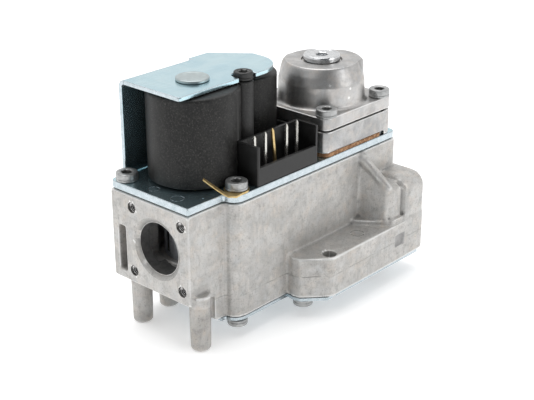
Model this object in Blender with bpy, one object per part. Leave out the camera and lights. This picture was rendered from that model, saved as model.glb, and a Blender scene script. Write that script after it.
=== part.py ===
"""Combination gas valve for a boiler: die-cast body, two solenoid valves, servo pressure regulator.

All dimensions are millimetres in the valve's own frame, turned into metres when a mesh is made. Its origin
is the middle of the inlet flange's face: +X runs along the body to the outlet, +Y to the back, +Z up.
Everything hangs on one empty, which puts the middle of the bounding box's underside at the world's origin.
"""

from math import atan2, ceil, cos, pi, radians, sin, tan, tau

import bmesh
import bpy
from mathutils import Matrix, Vector

MM = 0.001

# Casting
CAST_TOP = 16.5
CAST_BOTTOM = -26.2
BODY_RIGHT = 106.9
BODY_BACK = 22.8
FRONT_WALL = -20.6
INLET_FRONT = -15.6
INLET_BLOCK_END = 16.9
CORNER_BOSS_R = 4.8
FLANGE_BOTTOM = -16.8
FLANGE_DEPTH = 11.8
OUTLET_FACE = 108.2
OUTLET_BLOCK = 97.0
OUTLET_FRONT = -33.4
OUTLET_BACK = 5.1
OUTLET_TOP = 5.0
OUTLET_Y = -14.1
OUTLET_Z = -10.9
LEDGE_TOP = -11.2
STEP_TOP = -9.5
PIER_TOP = 2.4
FOOT_FRONT = -34.4
FOOT_HOLE = (55.1, -30.6)
FOOT_HOLE_R = 2.5
LEG_BOTTOM = -34.5
LEG_R_TOP = 3.9
LEG_R_BOTTOM = 3.6
LEGS = ((5.2, -15.0), (5.4, 14.7), (19.9, 16.5), (97.0, 11.5), (97.0, -12.0))

# Flange connections
BORE_R = 9.45
SEAT_R = 10.9
SEAT_DEPTH = 2.6
BOLT_SQUARE = 24.0
BOLT_R = 1.6
BOLT_DEPTH = 9.0

# Sheet parts and seams
SEAM_GAP = 0.12
PLATE_BOTTOM = 17.0
PLATE_TOP = 19.6
PLATE_RIGHT = 106.0
BASE_PLATE_TOP = -26.7
BASE_PLATE_BOTTOM = -27.9
GASKET_INSET = 0.8

# Axes of the working groups, all parallel to Z
MAIN = (22.7, 4.0)
SERVO = (51.7, 8.0)
SECOND = (52.0, 0.0)
REGULATOR = (82.9, -2.3)

# Main solenoid
MAIN_COIL_R = 16.2
COIL_BOTTOM = 20.5
COIL_TOP = 52.0
BRACKET_BOTTOM = 52.5
BRACKET_TOP = 54.0
BRACKET_LEFT = 6.3
BRACKET_RIGHT = 59.3
BRACKET_FRONT = -6.7
BRACKET_BACK = 23.0
BEND_R = 2.6
LEG_RIGHT = 39.2
POST = (38.4, -4.6)
POST_R = 3.5
RIVET_R = 5.8
CHAMBER_R = 13.5
CHAMBER_FLOOR = -9.0
SEAT_TOP = -7.7

# Servo solenoid
SERVO_COIL_R = 12.0
SERVO_COIL_TOP = 49.8

# Connector
CONNECTOR_LEFT = 28.5
CONNECTOR_RIGHT = 59.8
CONNECTOR_FRONT = -20.4
CONNECTOR_BACK = -10.6
CONNECTOR_TOP = 34.0
CONNECTOR_SILL = 26.4
CONNECTOR_WALL = 1.2
PIN_Y = -15.7
PIN_FIRST = 31.9
PIN_PITCH = 5.45
PIN_COUNT = 5
PIN_TOP = 36.2
BENT_PIN = 3

# Earth tag
TAG_THICKNESS = 0.6

# Regulator
REGULATOR_BLOCK = (64.0, 103.0, -20.6, 17.0)
REGULATOR_CORNER_R = 3.0
REGULATOR_LUG = 4.4
CORK_TOP = 21.2
REGULATOR_SEAM = 29.6
REGULATOR_FLANGE_TOP = 34.5
COVER_TOP = 49.2
REGULATOR_BOLT = 15.4
REGULATOR_PORTS = ((76.0, 4.0), (90.5, -7.5))
PORT_R = 1.6
CAP_SOCKET_R = 2.4

# Fasteners: (x, y) of each screw
PLATE_SCREWS = ((3.9, 18.0), (22.3, -16.4))
BASE_SCREWS = (
    (21.1, -17.3),
    (47.6, -24.8),
    (88.0, -27.0),
    (86.0, 18.5),
    (60.0, 19.0),
    (31.0, 18.5),
)
REGULATOR_SCREWS = tuple(
    (REGULATOR[0] + dx * REGULATOR_BOLT, REGULATOR[1] + dy * REGULATOR_BOLT)
    for dx, dy in ((1, -1), (-1, -1), (-1, 1), (1, 1))
)
SCREW_SHANK_R = 1.55
SCREW_HOLE_R = 1.8
CLEAR_HOLE_R = 2.2

ROUND = 28
HUGE = 60.0


def clear_scene():
    for old in list(bpy.data.objects):
        bpy.data.objects.remove(old, do_unlink=True)


def make_material(name, colour, roughness, metallic):
    material = bpy.data.materials.new(name)
    material.use_nodes = True
    shader = material.node_tree.nodes["Principled BSDF"]
    shader.inputs["Base Color"].default_value = (*colour, 1.0)
    shader.inputs["Roughness"].default_value = roughness
    shader.inputs["Metallic"].default_value = metallic
    return material


# ---------------------------------------------------------------- outlines


def outline(corners, step=radians(22.5)):
    """Points of a polygon whose corners (x, y, radius) are rounded; a radius of 0 keeps a corner sharp."""
    points = []
    count = len(corners)
    for index, (x, y, radius) in enumerate(corners):
        here = Vector((x, y))
        if not radius:
            points.append(here)
            continue
        to_last = (Vector(corners[index - 1][:2]) - here).normalized()
        to_next = (Vector(corners[(index + 1) % count][:2]) - here).normalized()
        half = to_last.angle(to_next) / 2
        centre = here + (to_last + to_next).normalized() * radius / sin(half)
        first = here + to_last * radius / tan(half) - centre
        last = here + to_next * radius / tan(half) - centre
        turn = atan2(first.cross(last), first.dot(last))
        steps = max(2, ceil(abs(turn) / step))
        for i in range(steps + 1):
            points.append(centre + Matrix.Rotation(turn * i / steps, 2) @ first)
    return [(p.x, p.y) for p in points]


def circle(x, y, radius, segments=ROUND):
    turns = [tau * i / segments for i in range(segments)]
    return [(x + radius * cos(turn), y + radius * sin(turn)) for turn in turns]


def rectangle(x0, x1, y0, y1, radius=0.0):
    return outline([(x0, y0, radius), (x1, y0, radius), (x1, y1, radius), (x0, y1, radius)])


# ---------------------------------------------------------------- solids, as bmesh in millimetres


def closed(mesh):
    bmesh.ops.recalc_face_normals(mesh, faces=mesh.faces)
    return mesh


def prism(points, low, high, axis="Z"):
    """A flat outline run from low to high along an axis. On X the outline is (y, z), on Y it is (x, z)."""
    place = {
        "Z": lambda a, b, c: (a, b, c),
        "X": lambda a, b, c: (c, a, b),
        "Y": lambda a, b, c: (a, c, b),
    }[axis]
    mesh = bmesh.new()
    lower = [mesh.verts.new(place(a, b, low)) for a, b in points]
    upper = [mesh.verts.new(place(a, b, high)) for a, b in points]
    mesh.faces.new(lower)
    mesh.faces.new(upper)
    for i, vert in enumerate(lower):
        j = (i + 1) % len(lower)
        mesh.faces.new((vert, lower[j], upper[j], upper[i]))
    return closed(mesh)


def box(x0, x1, y0, y1, z0, z1):
    return prism(rectangle(x0, x1, y0, y1), z0, z1)


def turned(profile, at=(0.0, 0.0), segments=ROUND, hollow=False):
    """A profile of (radius, z) points turned round a vertical axis: a solid with flat ends, or a ring."""
    mesh = bmesh.new()
    rings = []
    for radius, z in profile:
        rings.append([mesh.verts.new((x, y, z)) for x, y in circle(*at, radius, segments)])
    for ring, other in zip(rings, rings[1:] + rings[:1] if hollow else rings[1:]):
        for i in range(segments):
            j = (i + 1) % segments
            mesh.faces.new((ring[i], ring[j], other[j], other[i]))
    if not hollow:
        mesh.faces.new(rings[0])
        mesh.faces.new(rings[-1])
    return closed(mesh)


def rod(at, radius, low, high, segments=ROUND):
    return turned([(radius, low), (radius, high)], at, segments)


def cross_rod(y, z, radius, low, high, segments=ROUND):
    return prism(circle(y, z, radius, segments), low, high, "X")


def coil_spring(radius, wire, low, high, turns, at=(0.0, 0.0), per_turn=10, sides=5):
    """A round wire wound in a helix, with flat-lying end turns, as one closed tube."""
    mesh = bmesh.new()
    steps = round(turns * per_turn)
    rings = []
    for i in range(steps + 1):
        part = i / steps
        rise = min(max((part - 0.5 / turns) / (1 - 1 / turns), 0.0), 1.0)
        z = low + wire + rise * (high - low - 2 * wire)
        angle = tau * turns * part
        ring = []
        for k in range(sides):
            across = radius + wire * cos(tau * k / sides)
            x = at[0] + across * cos(angle)
            y = at[1] + across * sin(angle)
            ring.append(mesh.verts.new((x, y, z + wire * sin(tau * k / sides))))
        rings.append(ring)
    for ring, other in zip(rings, rings[1:]):
        for k in range(sides):
            m = (k + 1) % sides
            mesh.faces.new((ring[k], ring[m], other[m], other[k]))
    mesh.faces.new(rings[0])
    mesh.faces.new(rings[-1])
    return closed(mesh)


# ---------------------------------------------------------------- objects


def to_object(name, mesh, origin):
    """Turns a millimetre bmesh into an object in metres whose own origin is at the given point."""
    bmesh.ops.translate(mesh, verts=mesh.verts, vec=-Vector(origin))
    bmesh.ops.scale(mesh, verts=mesh.verts, vec=(MM, MM, MM))
    data = bpy.data.meshes.new(name)
    mesh.to_mesh(data)
    mesh.free()
    made = bpy.data.objects.new(name, data)
    bpy.context.scene.collection.objects.link(made)
    made.location = Vector(origin) * MM
    made.parent = frame
    return made


def part(name, mesh, material, origin=(0.0, 0.0, 0.0), smooth=True):
    made = to_object(name, mesh, origin)
    made.data.materials.append(material)
    if smooth:
        made.data.shade_smooth()
        made.data.set_sharp_from_angle(angle=radians(35))
    return made


def boolean(target, mesh, operation, label):
    helper = to_object(f"{target.name}_{label}", mesh, (0.0, 0.0, 0.0))
    helper.hide_render = True
    helper.display_type = "WIRE"
    modifier = target.modifiers.new(label, "BOOLEAN")
    modifier.operation = operation
    modifier.solver = "EXACT"
    modifier.object = helper


def cut(target, mesh, label):
    boolean(target, mesh, "DIFFERENCE", label)


def join(target, mesh, label):
    boolean(target, mesh, "UNION", label)


def cut_holes(target, centres, radius, low, high, label, segments=12):
    for number, at in enumerate(centres, 1):
        cut(target, rod(at, radius, low, high, segments), f"{label}_{number}")


# ---------------------------------------------------------------- casting


def body_outline(x0, x1, inset=0.0, back_corner=0.6):
    """Plan of the block: the narrower inlet end, the round screw boss at the front corner, the long walls."""
    return outline(
        [
            (x0, INLET_FRONT + inset, 0.6),
            (INLET_BLOCK_END + inset, INLET_FRONT + inset, 0.8),
            (INLET_BLOCK_END + inset, FRONT_WALL + inset, CORNER_BOSS_R - inset),
            (x1 - inset, FRONT_WALL + inset, 2.5),
            (x1 - inset, BODY_BACK - inset, 2.5),
            (x0, BODY_BACK - inset, back_corner),
        ]
    )


def foot_outline(right, inset=0.0, inner=FRONT_WALL + 5.0):
    """Plan of the mounting foot, which stands out of the front wall."""
    return outline(
        [
            (44.8 + inset, inner, 0),
            (43.4 + inset, -23.4, 1.5),
            (43.9 + inset, -26.4, 1.5),
            (52.7 + inset / 2, FOOT_FRONT + inset, 3.5),
            (right - inset, FOOT_FRONT + 0.5 + inset, 0.8),
            (right - inset, inner, 0),
        ]
    )


def flange_drilling(target, y, z, face, inward, label):
    """Seal seat and four tapped holes of a pipe flange whose face is at x = face."""
    outside = face - 2 * inward
    seat_ends = sorted((outside, face + inward * SEAT_DEPTH))
    cut(target, cross_rod(y, z, SEAT_R, *seat_ends), f"{label}_seat")
    half = BOLT_SQUARE / 2
    bolt_ends = sorted((outside, face + inward * BOLT_DEPTH))
    corners = ((-half, -half), (half, -half), (half, half), (-half, half))
    for number, (dy, dz) in enumerate(corners, 1):
        bolt = cross_rod(y + dy, z + dz, BOLT_R, *bolt_ends, segments=12)
        cut(target, bolt, f"{label}_bolt_{number}")


def gusset():
    """The sloping rib above the foot, swept back a little as it leaves the wall."""
    slope = [(-19.0, 15.9), (-31.0, 2.2), (-31.0, -12.0), (-19.0, -12.0)]
    mesh = prism(slope, 83.4, 86.4, "X")
    for vert in mesh.verts:
        vert.co.x += 0.42 * max(0.0, FRONT_WALL - vert.co.y)
    return mesh


def make_valve_body(material):
    body = part("valve_body", prism(body_outline(0.0, BODY_RIGHT), CAST_BOTTOM, CAST_TOP), material)
    cut(body, box(-5, FLANGE_DEPTH, -HUGE, HUGE, -HUGE, FLANGE_BOTTOM), "under_inlet")
    join(body, prism(foot_outline(OUTLET_FACE), CAST_BOTTOM, LEDGE_TOP), "foot")
    end_face = [
        (OUTLET_FRONT, CAST_BOTTOM, 0.6),
        (OUTLET_BACK, CAST_BOTTOM, 0.6),
        (OUTLET_BACK, OUTLET_TOP, 2.5),
        (OUTLET_FRONT, OUTLET_TOP, 5.5),
    ]
    join(body, prism(outline(end_face), OUTLET_BLOCK, OUTLET_FACE, "X"), "outlet_flange")
    pier = [(84.5, -16, 0), (87.8, -29.6, 1.6), (90.4, -32.0, 1.6), (98.5, -32.0, 0), (98.5, -16, 0)]
    join(body, prism(outline(pier), CAST_BOTTOM + 1, PIER_TOP), "pier")
    join(body, gusset(), "gusset")
    step = [
        (79.6, -18, 0),
        (79.6, -20.8, 0.5),
        (87.0, -30.9, 1.5),
        (90.0, -33.0, 1.5),
        (98.5, -33.0, 0),
        (98.5, -18, 0),
    ]
    join(body, prism(outline(step), LEDGE_TOP - 1, STEP_TOP), "step")
    for number, at in enumerate(LEGS, 1):
        top = -13.5 if at[0] < FLANGE_DEPTH else CAST_BOTTOM + 2
        leg = [(LEG_R_BOTTOM - 0.6, LEG_BOTTOM), (LEG_R_BOTTOM, LEG_BOTTOM + 0.6), (LEG_R_TOP, top)]
        join(body, turned(leg, at, 16), f"leg_{number}")

    # Inlet: a short bore, the antechamber behind it, and the first valve's chamber with its raised seat.
    flange_drilling(body, 0.0, 0.0, 0.0, 1, "inlet")
    cut(body, cross_rod(0.0, 0.0, BORE_R, -1.0, 9.0), "inlet_bore")
    ante = outline([(-8.0, -8.3, 2), (12.8, -8.3, 2), (12.8, 8.3, 2), (-8.0, 8.3, 2)])
    cut(body, prism(ante, 5.2, 15.0, "X"), "antechamber")
    first_seat = [
        (CHAMBER_R, HUGE),
        (CHAMBER_R, CHAMBER_FLOOR),
        (8.0, CHAMBER_FLOOR),
        (8.0, SEAT_TOP),
        (6.5, SEAT_TOP),
        (6.5, -21.5),
    ]
    cut(body, turned(first_seat, MAIN), "first_chamber")
    cut(body, box(-1.0, 6.0, 15.8, 19.3, -13.5, 3.6), "face_slot")

    # Between the valves, the diaphragm chamber and the second seat.
    cut(body, box(20.0, 45.0, -3.0, 11.0, -21.5, -12.5), "passage")
    diaphragm_chamber = [
        (17.5, -HUGE),
        (17.5, -24.9),
        (15.5, -24.9),
        (15.5, -13.0),
        (6.5, -13.0),
        (6.5, SEAT_TOP),
        (8.0, SEAT_TOP),
        (8.0, CHAMBER_FLOOR),
        (11.5, CHAMBER_FLOOR),
        (11.5, 5.5),
    ]
    cut(body, turned(diaphragm_chamber, SECOND), "diaphragm_chamber")

    # Outlet: from above the second seat to the outlet bore.
    cut(body, box(58.0, 88.0, -12.0, 12.0, CHAMBER_FLOOR, 5.4), "outlet_chamber")
    cut(body, box(74.0, 92.0, -17.5, 3.0, -20.5, 0.5), "outlet_shaft")
    cut(body, cross_rod(OUTLET_Y, OUTLET_Z, BORE_R, 88.0, 109.0), "outlet_bore")
    flange_drilling(body, OUTLET_Y, OUTLET_Z, OUTLET_FACE, -1, "outlet")

    # Servo valve nozzle, regulator ports, and the tapped holes.
    nozzle = [(7.0, HUGE), (7.0, 9.5), (2.2, 9.5), (2.2, 11.6), (1.1, 11.6), (1.1, 5.0)]
    cut(body, turned(nozzle, SERVO, 24), "servo_nozzle")
    cut_holes(body, REGULATOR_PORTS, PORT_R, 4.0, HUGE, "regulator_port")
    cut_holes(body, PLATE_SCREWS, SCREW_HOLE_R, CAST_TOP - 9, HUGE, "plate_screw_hole")
    cut_holes(body, REGULATOR_SCREWS, SCREW_HOLE_R, CAST_TOP - 9, HUGE, "regulator_screw_hole")
    cut_holes(body, BASE_SCREWS, SCREW_HOLE_R, -HUGE, CAST_BOTTOM + 7.5, "base_screw_hole")
    cut_holes(body, [FOOT_HOLE], FOOT_HOLE_R, -HUGE, 0.0, "foot_hole", 24)
    recess = [(90.2, -20.4), (90.2, -16.6), (92.0, -15.8), (96.2, -15.8), (94.8, -20.4)]
    cut(body, prism(recess, -HUGE, FOOT_FRONT + 1.3, "Y"), "foot_recess")
    return body


# ---------------------------------------------------------------- plates and gaskets


def make_plates(zinc, seal):
    lid = prism(body_outline(0.0, PLATE_RIGHT, 0.0, 2.5), PLATE_BOTTOM, PLATE_TOP)
    top = part("top_plate", lid, zinc)
    cut_holes(top, [MAIN], 6.4, 0, HUGE, "main_tube_hole", ROUND)
    cut_holes(top, [SERVO], 4.7, 0, HUGE, "servo_tube_hole", 24)
    cut_holes(top, PLATE_SCREWS + REGULATOR_SCREWS, CLEAR_HOLE_R, 0, HUGE, "screw_hole")
    cut_holes(top, REGULATOR_PORTS, PORT_R, 0, HUGE, "port")

    plan = body_outline(GASKET_INSET, BODY_RIGHT, GASKET_INSET)
    gasket = part("top_gasket", prism(plan, CAST_TOP + SEAM_GAP, PLATE_BOTTOM - SEAM_GAP), seal)
    cut_holes(gasket, [MAIN], CHAMBER_R + 0.3, 0, HUGE, "main_hole", ROUND)
    cut_holes(gasket, [SERVO], 7.3, 0, HUGE, "servo_hole", 24)
    cut_holes(gasket, PLATE_SCREWS + REGULATOR_SCREWS, CLEAR_HOLE_R, 0, HUGE, "screw_hole")
    cut_holes(gasket, REGULATOR_PORTS, 1.9, 0, HUGE, "port")

    far_legs = [at for at in LEGS if at[0] > FLANGE_DEPTH]
    sheet = prism(body_outline(FLANGE_DEPTH + 0.3, PLATE_RIGHT), BASE_PLATE_BOTTOM, BASE_PLATE_TOP)
    base = part("bottom_plate", sheet, zinc)
    join(base, prism(foot_outline(PLATE_RIGHT), BASE_PLATE_BOTTOM, BASE_PLATE_TOP), "foot")
    cut_holes(base, BASE_SCREWS, CLEAR_HOLE_R, -HUGE, 0, "screw_hole")
    cut_holes(base, far_legs, LEG_R_TOP + 0.5, -HUGE, 0, "leg_hole", 24)
    cut_holes(base, [FOOT_HOLE], FOOT_HOLE_R + 0.3, -HUGE, 0, "foot_hole", 24)

    low = BASE_PLATE_TOP + SEAM_GAP
    high = CAST_BOTTOM - SEAM_GAP
    plan = body_outline(FLANGE_DEPTH + 1.2, PLATE_RIGHT, GASKET_INSET)
    lower = part("bottom_gasket", prism(plan, low, high), seal)
    join(lower, prism(foot_outline(PLATE_RIGHT, GASKET_INSET), low, high), "foot")
    cut_holes(lower, [SECOND], 17.9, -HUGE, 0, "diaphragm_hole", ROUND)
    cut_holes(lower, BASE_SCREWS, CLEAR_HOLE_R, -HUGE, 0, "screw_hole")
    cut_holes(lower, far_legs, LEG_R_TOP + 0.6, -HUGE, 0, "leg_hole", 24)
    cut_holes(lower, [FOOT_HOLE], FOOT_HOLE_R + 0.4, -HUGE, 0, "foot_hole", 24)


# ---------------------------------------------------------------- fasteners


def make_screw(name, at, seat, up, head_r, head_height, length, material):
    """Cheese-head screw with a captive washer and a socket; up is 1 with its head on top, else -1."""
    profile = [
        (SCREW_SHANK_R, -length),
        (SCREW_SHANK_R, 0.0),
        (head_r, 0.0),
        (head_r, 1.0),
        (head_r - 0.4, 1.2),
        (head_r - 0.4, head_height - 0.4),
        (head_r - 0.9, head_height),
    ]
    mesh = turned([(radius, seat + up * z) for radius, z in profile], at, 12)
    screw = part(name, mesh, material)
    ends = sorted((seat + up * (head_height - 1.5), seat + up * (head_height + 1)))
    cut(screw, rod(at, 1.9, *ends, segments=6), "socket")
    return screw


def make_screws(steel, black):
    for number, at in enumerate(PLATE_SCREWS, 1):
        over_tag = TAG_THICKNESS + SEAM_GAP if number == 2 else 0.0
        seat = PLATE_TOP + SEAM_GAP + over_tag
        make_screw(f"plate_screw_{number}", at, seat, 1, 3.9, 2.9, 10.5, steel)
    for number, at in enumerate(REGULATOR_SCREWS, 1):
        make_screw(f"regulator_screw_{number}", at, REGULATOR_FLANGE_TOP + SEAM_GAP, 1, 3.9, 2.9, 26.0, steel)
    for number, at in enumerate(BASE_SCREWS, 1):
        make_screw(f"base_screw_{number}", at, BASE_PLATE_BOTTOM - SEAM_GAP, -1, 3.7, 2.4, 8.0, steel)
    make_screw("coil_screw", POST, BRACKET_BOTTOM + 0.1, 1, 3.4, 2.7, 9.0, black)


# ---------------------------------------------------------------- main solenoid and first valve


def make_main_solenoid(mats):
    shell = [
        (MAIN_COIL_R, COIL_BOTTOM),
        (MAIN_COIL_R, COIL_TOP - 1.2),
        (MAIN_COIL_R - 0.35, COIL_TOP - 0.35),
        (MAIN_COIL_R - 1.2, COIL_TOP),
    ]
    main = part("main_coil_housing", turned(shell, MAIN, 36), mats["coil_black"])
    join(main, rod(POST, POST_R, COIL_BOTTOM, BRACKET_BOTTOM - 0.3, 24), "screw_post")
    cut(main, rod(POST, SCREW_HOLE_R, 42.0, HUGE, 12), "screw_hole")
    gap = 0.3
    beside = box(CONNECTOR_LEFT - gap, 40, -HUGE, CONNECTOR_BACK + gap, 0, CONNECTOR_TOP + gap)
    cut(main, beside, "connector_clearance")
    cut(main, rod(MAIN, 14.0, 21.2, 49.9, 40), "winding_space")
    cut(main, rod(MAIN, 7.3, 0.0, HUGE, ROUND), "centre_hole")

    bobbin = [(6.5, 21.3), (13.9, 21.3), (13.9, 22.3), (7.6, 22.3)]
    bobbin += [(7.6, 48.3), (13.9, 48.3), (13.9, 49.3), (6.5, 49.3)]
    part("main_coil_bobbin", turned(bobbin, MAIN, hollow=True), mats["connector_black"])
    winding = [(7.9, 22.6), (13.4, 22.6), (13.4, 48.0), (7.9, 48.0)]
    part("main_coil_winding", turned(winding, MAIN, 28, hollow=True), mats["copper"])

    core = [
        (5.1, 38.2),
        (5.1, 52.2),
        (4.0, 52.2),
        (4.0, BRACKET_TOP + 0.15),
        (RIVET_R, BRACKET_TOP + 0.15),
        (RIVET_R, 54.8),
        (RIVET_R - 0.5, 55.2),
    ]
    part("main_core", turned(core, MAIN), mats["rivet"])
    tube = [(5.4, 15.3), (9.0, 15.3), (9.0, 16.2), (6.0, 16.2), (6.0, 46.0), (5.4, 46.0)]
    part("main_guide_tube", turned(tube, MAIN, hollow=True), mats["brass"])

    armature = [(4.2, -1.0), (5.0, -0.2), (5.0, 34.4), (4.4, 35.0)]
    moving = part("main_armature", turned(armature, MAIN), mats["steel"], (*MAIN, 0.0))
    join(moving, rod(MAIN, 1.8, -5.3, 0.0, 20), "stem")
    disc = [(8.8, -7.15), (9.6, -6.9), (9.6, -5.9), (3.6, -5.9), (3.6, -5.5)]
    part("main_valve_disc", turned(disc, MAIN), mats["aluminium"], (*MAIN, -7.0))
    part("main_valve_seal", rod(MAIN, 9.0, -7.6, -7.25), mats["rubber"], (*MAIN, -7.5))
    part("main_closing_spring", coil_spring(7.2, 0.5, -5.7, 15.1, 6, MAIN), mats["spring"], (*MAIN, 15.1))

    screen = part(
        "inlet_strainer",
        turned([(11.0, -8.8), (11.5, -8.8), (11.5, 14.6), (11.0, 14.6)], MAIN, hollow=True),
        mats["steel"],
    )
    for number in range(6):
        window = box(-13, 13, -1.1, 1.1, -6.8, 12.6)
        turn = Matrix.Rotation(pi * (number + 0.5) / 6, 3, "Z")
        bmesh.ops.rotate(window, verts=window.verts, matrix=turn)
        bmesh.ops.translate(window, verts=window.verts, vec=(*MAIN, 0))
        cut(screen, window, f"window_{number + 1}")


def make_bracket(zinc):
    """Coil bracket: a flat top with a round end, a notch for the coil screw, and a bent-down back leg."""
    plan = [
        (BRACKET_LEFT, BRACKET_BACK, 0),
        (BRACKET_LEFT, BRACKET_FRONT, 1.2),
        (BRACKET_RIGHT, BRACKET_FRONT, 12.8),
        (BRACKET_RIGHT, 10.2, 1.5),
        (48.9, BRACKET_BACK, 1.5),
    ]
    top = part("coil_bracket", prism(outline(plan), BRACKET_BOTTOM, BRACKET_TOP), zinc)
    # The leg and its bend are one profile, (y, z), run along X.
    sheet = BRACKET_TOP - BRACKET_BOTTOM
    bend_y = BRACKET_BACK - BEND_R
    bend_z = BRACKET_TOP - BEND_R
    quarter = [pi / 2 * i / 6 for i in range(7)]
    outside = [(bend_y + BEND_R * sin(angle), bend_z + BEND_R * cos(angle)) for angle in quarter]
    inner_r = BEND_R - sheet
    inside = [(bend_y + inner_r * sin(angle), bend_z + inner_r * cos(angle)) for angle in quarter]
    leg_bottom = PLATE_TOP + 0.2
    leg = [(bend_y - 1.0, BRACKET_TOP), *outside, (BRACKET_BACK, leg_bottom)]
    leg += [(BRACKET_BACK - sheet, leg_bottom), *reversed(inside), (bend_y - 1.0, BRACKET_BOTTOM)]
    cut(top, box(-HUGE, LEG_RIGHT - 0.2, bend_y, HUGE, 0, 2 * HUGE), "bend_line")
    join(top, prism(leg, BRACKET_LEFT, LEG_RIGHT, "X"), "back_leg")
    notch = outline([(34.1, -12, 0), (42.7, -12, 0), (42.3, -0.7, 3.8), (34.5, -0.7, 3.8)])
    cut(top, prism(notch, 0, 2 * HUGE), "screw_notch")
    cut(top, rod(MAIN, 4.4, 0, 2 * HUGE, 28), "core_hole")


# ---------------------------------------------------------------- servo solenoid


def make_servo_solenoid(mats):
    top = SERVO_COIL_TOP
    shell = [
        (SERVO_COIL_R, COIL_BOTTOM),
        (SERVO_COIL_R, top - 0.9),
        (SERVO_COIL_R - 0.3, top - 0.3),
        (SERVO_COIL_R - 0.9, top),
    ]
    housing = part("servo_coil_housing", turned(shell, SERVO, 32), mats["coil_black"])
    join(housing, box(39.3, 45.0, 0.5, 15.5, COIL_BOTTOM, top - 1.5), "web")
    cut(housing, rod(SERVO, 9.6, 21.2, 48.2, 28), "winding_space")
    cut(housing, rod(SERVO, 4.6, 0.0, HUGE, 24), "core_hole")
    winding = [(5.0, 21.5), (9.2, 21.5), (9.2, 47.5), (5.0, 47.5)]
    part("servo_coil_winding", turned(winding, SERVO, hollow=True), mats["copper"])
    core = [(3.5, 35.9), (3.5, 50.1), (5.0, 50.1), (5.0, 51.2)]
    part("servo_core", turned(core, SERVO, 24), mats["steel"])
    tube = [(3.8, 15.3), (6.4, 15.3), (6.4, 16.2), (4.3, 16.2), (4.3, 44.0), (3.8, 44.0)]
    part("servo_guide_tube", turned(tube, SERVO, 24, hollow=True), mats["brass"])
    armature = [(3.1, 12.6), (3.5, 13.0), (3.5, 33.0), (2.7, 33.0), (2.7, 25.0)]
    part("servo_armature", turned(armature, SERVO, 24), mats["steel"], (*SERVO, 12.6))
    part("servo_seal", rod(SERVO, 2.8, 11.75, 12.45, 24), mats["rubber"], (*SERVO, 12.0))
    part("servo_spring", coil_spring(2.0, 0.3, 25.2, 35.7, 7, SERVO, 8, 4), mats["spring"], (*SERVO, 35.7))


# ---------------------------------------------------------------- second valve


def make_second_valve(mats):
    stem = [(9.0, -26.3), (9.0, -25.4), (3.4, -25.0), (1.6, -24.4), (1.6, -7.9)]
    part("second_valve_stem", turned(stem, SECOND), mats["aluminium"], (*SECOND, -26.0))
    part("second_valve_seal", rod(SECOND, 9.0, -7.6, -7.25), mats["rubber"], (*SECOND, -7.5))
    disc = [(8.8, -7.15), (9.6, -6.9), (9.6, -5.9), (3.6, -5.9), (3.6, -5.4)]
    part("second_valve_disc", turned(disc, SECOND), mats["aluminium"], (*SECOND, -7.0))
    part("second_valve_spring", coil_spring(6.6, 0.5, -5.7, 5.2, 4, SECOND), mats["spring"], (*SECOND, 5.2))
    rubber = [
        (9.4, -26.4),
        (10.4, -26.4),
        (13.0, -24.3),
        (15.6, -26.4),
        (17.2, -26.4),
        (17.2, -25.2),
        (15.4, -25.2),
        (13.0, -23.6),
        (10.4, -25.8),
        (9.4, -25.8),
    ]
    part("main_diaphragm", turned(rubber, SECOND, hollow=True), mats["rubber"])


# ---------------------------------------------------------------- connector and earth tag


def make_connector(mats):
    shell = part(
        "connector_housing",
        prism(
            rectangle(CONNECTOR_LEFT, CONNECTOR_RIGHT, CONNECTOR_FRONT, CONNECTOR_BACK, 0.5),
            PLATE_TOP + 0.3,
            CONNECTOR_TOP,
        ),
        mats["connector_black"],
    )
    inside = (
        CONNECTOR_LEFT + CONNECTOR_WALL,
        CONNECTOR_RIGHT - CONNECTOR_WALL,
        CONNECTOR_FRONT + CONNECTOR_WALL,
        CONNECTOR_BACK - CONNECTOR_WALL,
    )
    cut(shell, box(*inside, 22.0, HUGE), "socket")
    cut(shell, box(inside[0], inside[1], -HUGE, PIN_Y, CONNECTOR_SILL, HUGE), "front_opening")
    for number in range(1, PIN_COUNT + 1):
        x = PIN_FIRST + PIN_PITCH * (number - 1)
        cut(shell, box(x - 0.8, x + 0.8, PIN_Y - 0.7, PIN_Y + 0.7, 0, 23.0), f"pin_hole_{number}")
        blade = box(x - 0.5, x + 0.5, PIN_Y - 0.4, PIN_Y + 0.4, 20.4, PIN_TOP)
        tip = [v for v in blade.verts if v.co.z > PIN_TOP - 0.1]
        for vert in tip:
            vert.co.x = x + (vert.co.x - x) * 0.5
            vert.co.y = PIN_Y + (vert.co.y - PIN_Y) * 0.5
            if number == BENT_PIN:
                vert.co.x -= 1.9
                vert.co.z += 0.4
        material = mats["brass"] if number == BENT_PIN else mats["pin"]
        part(f"connector_pin_{number}", blade, material)


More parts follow.
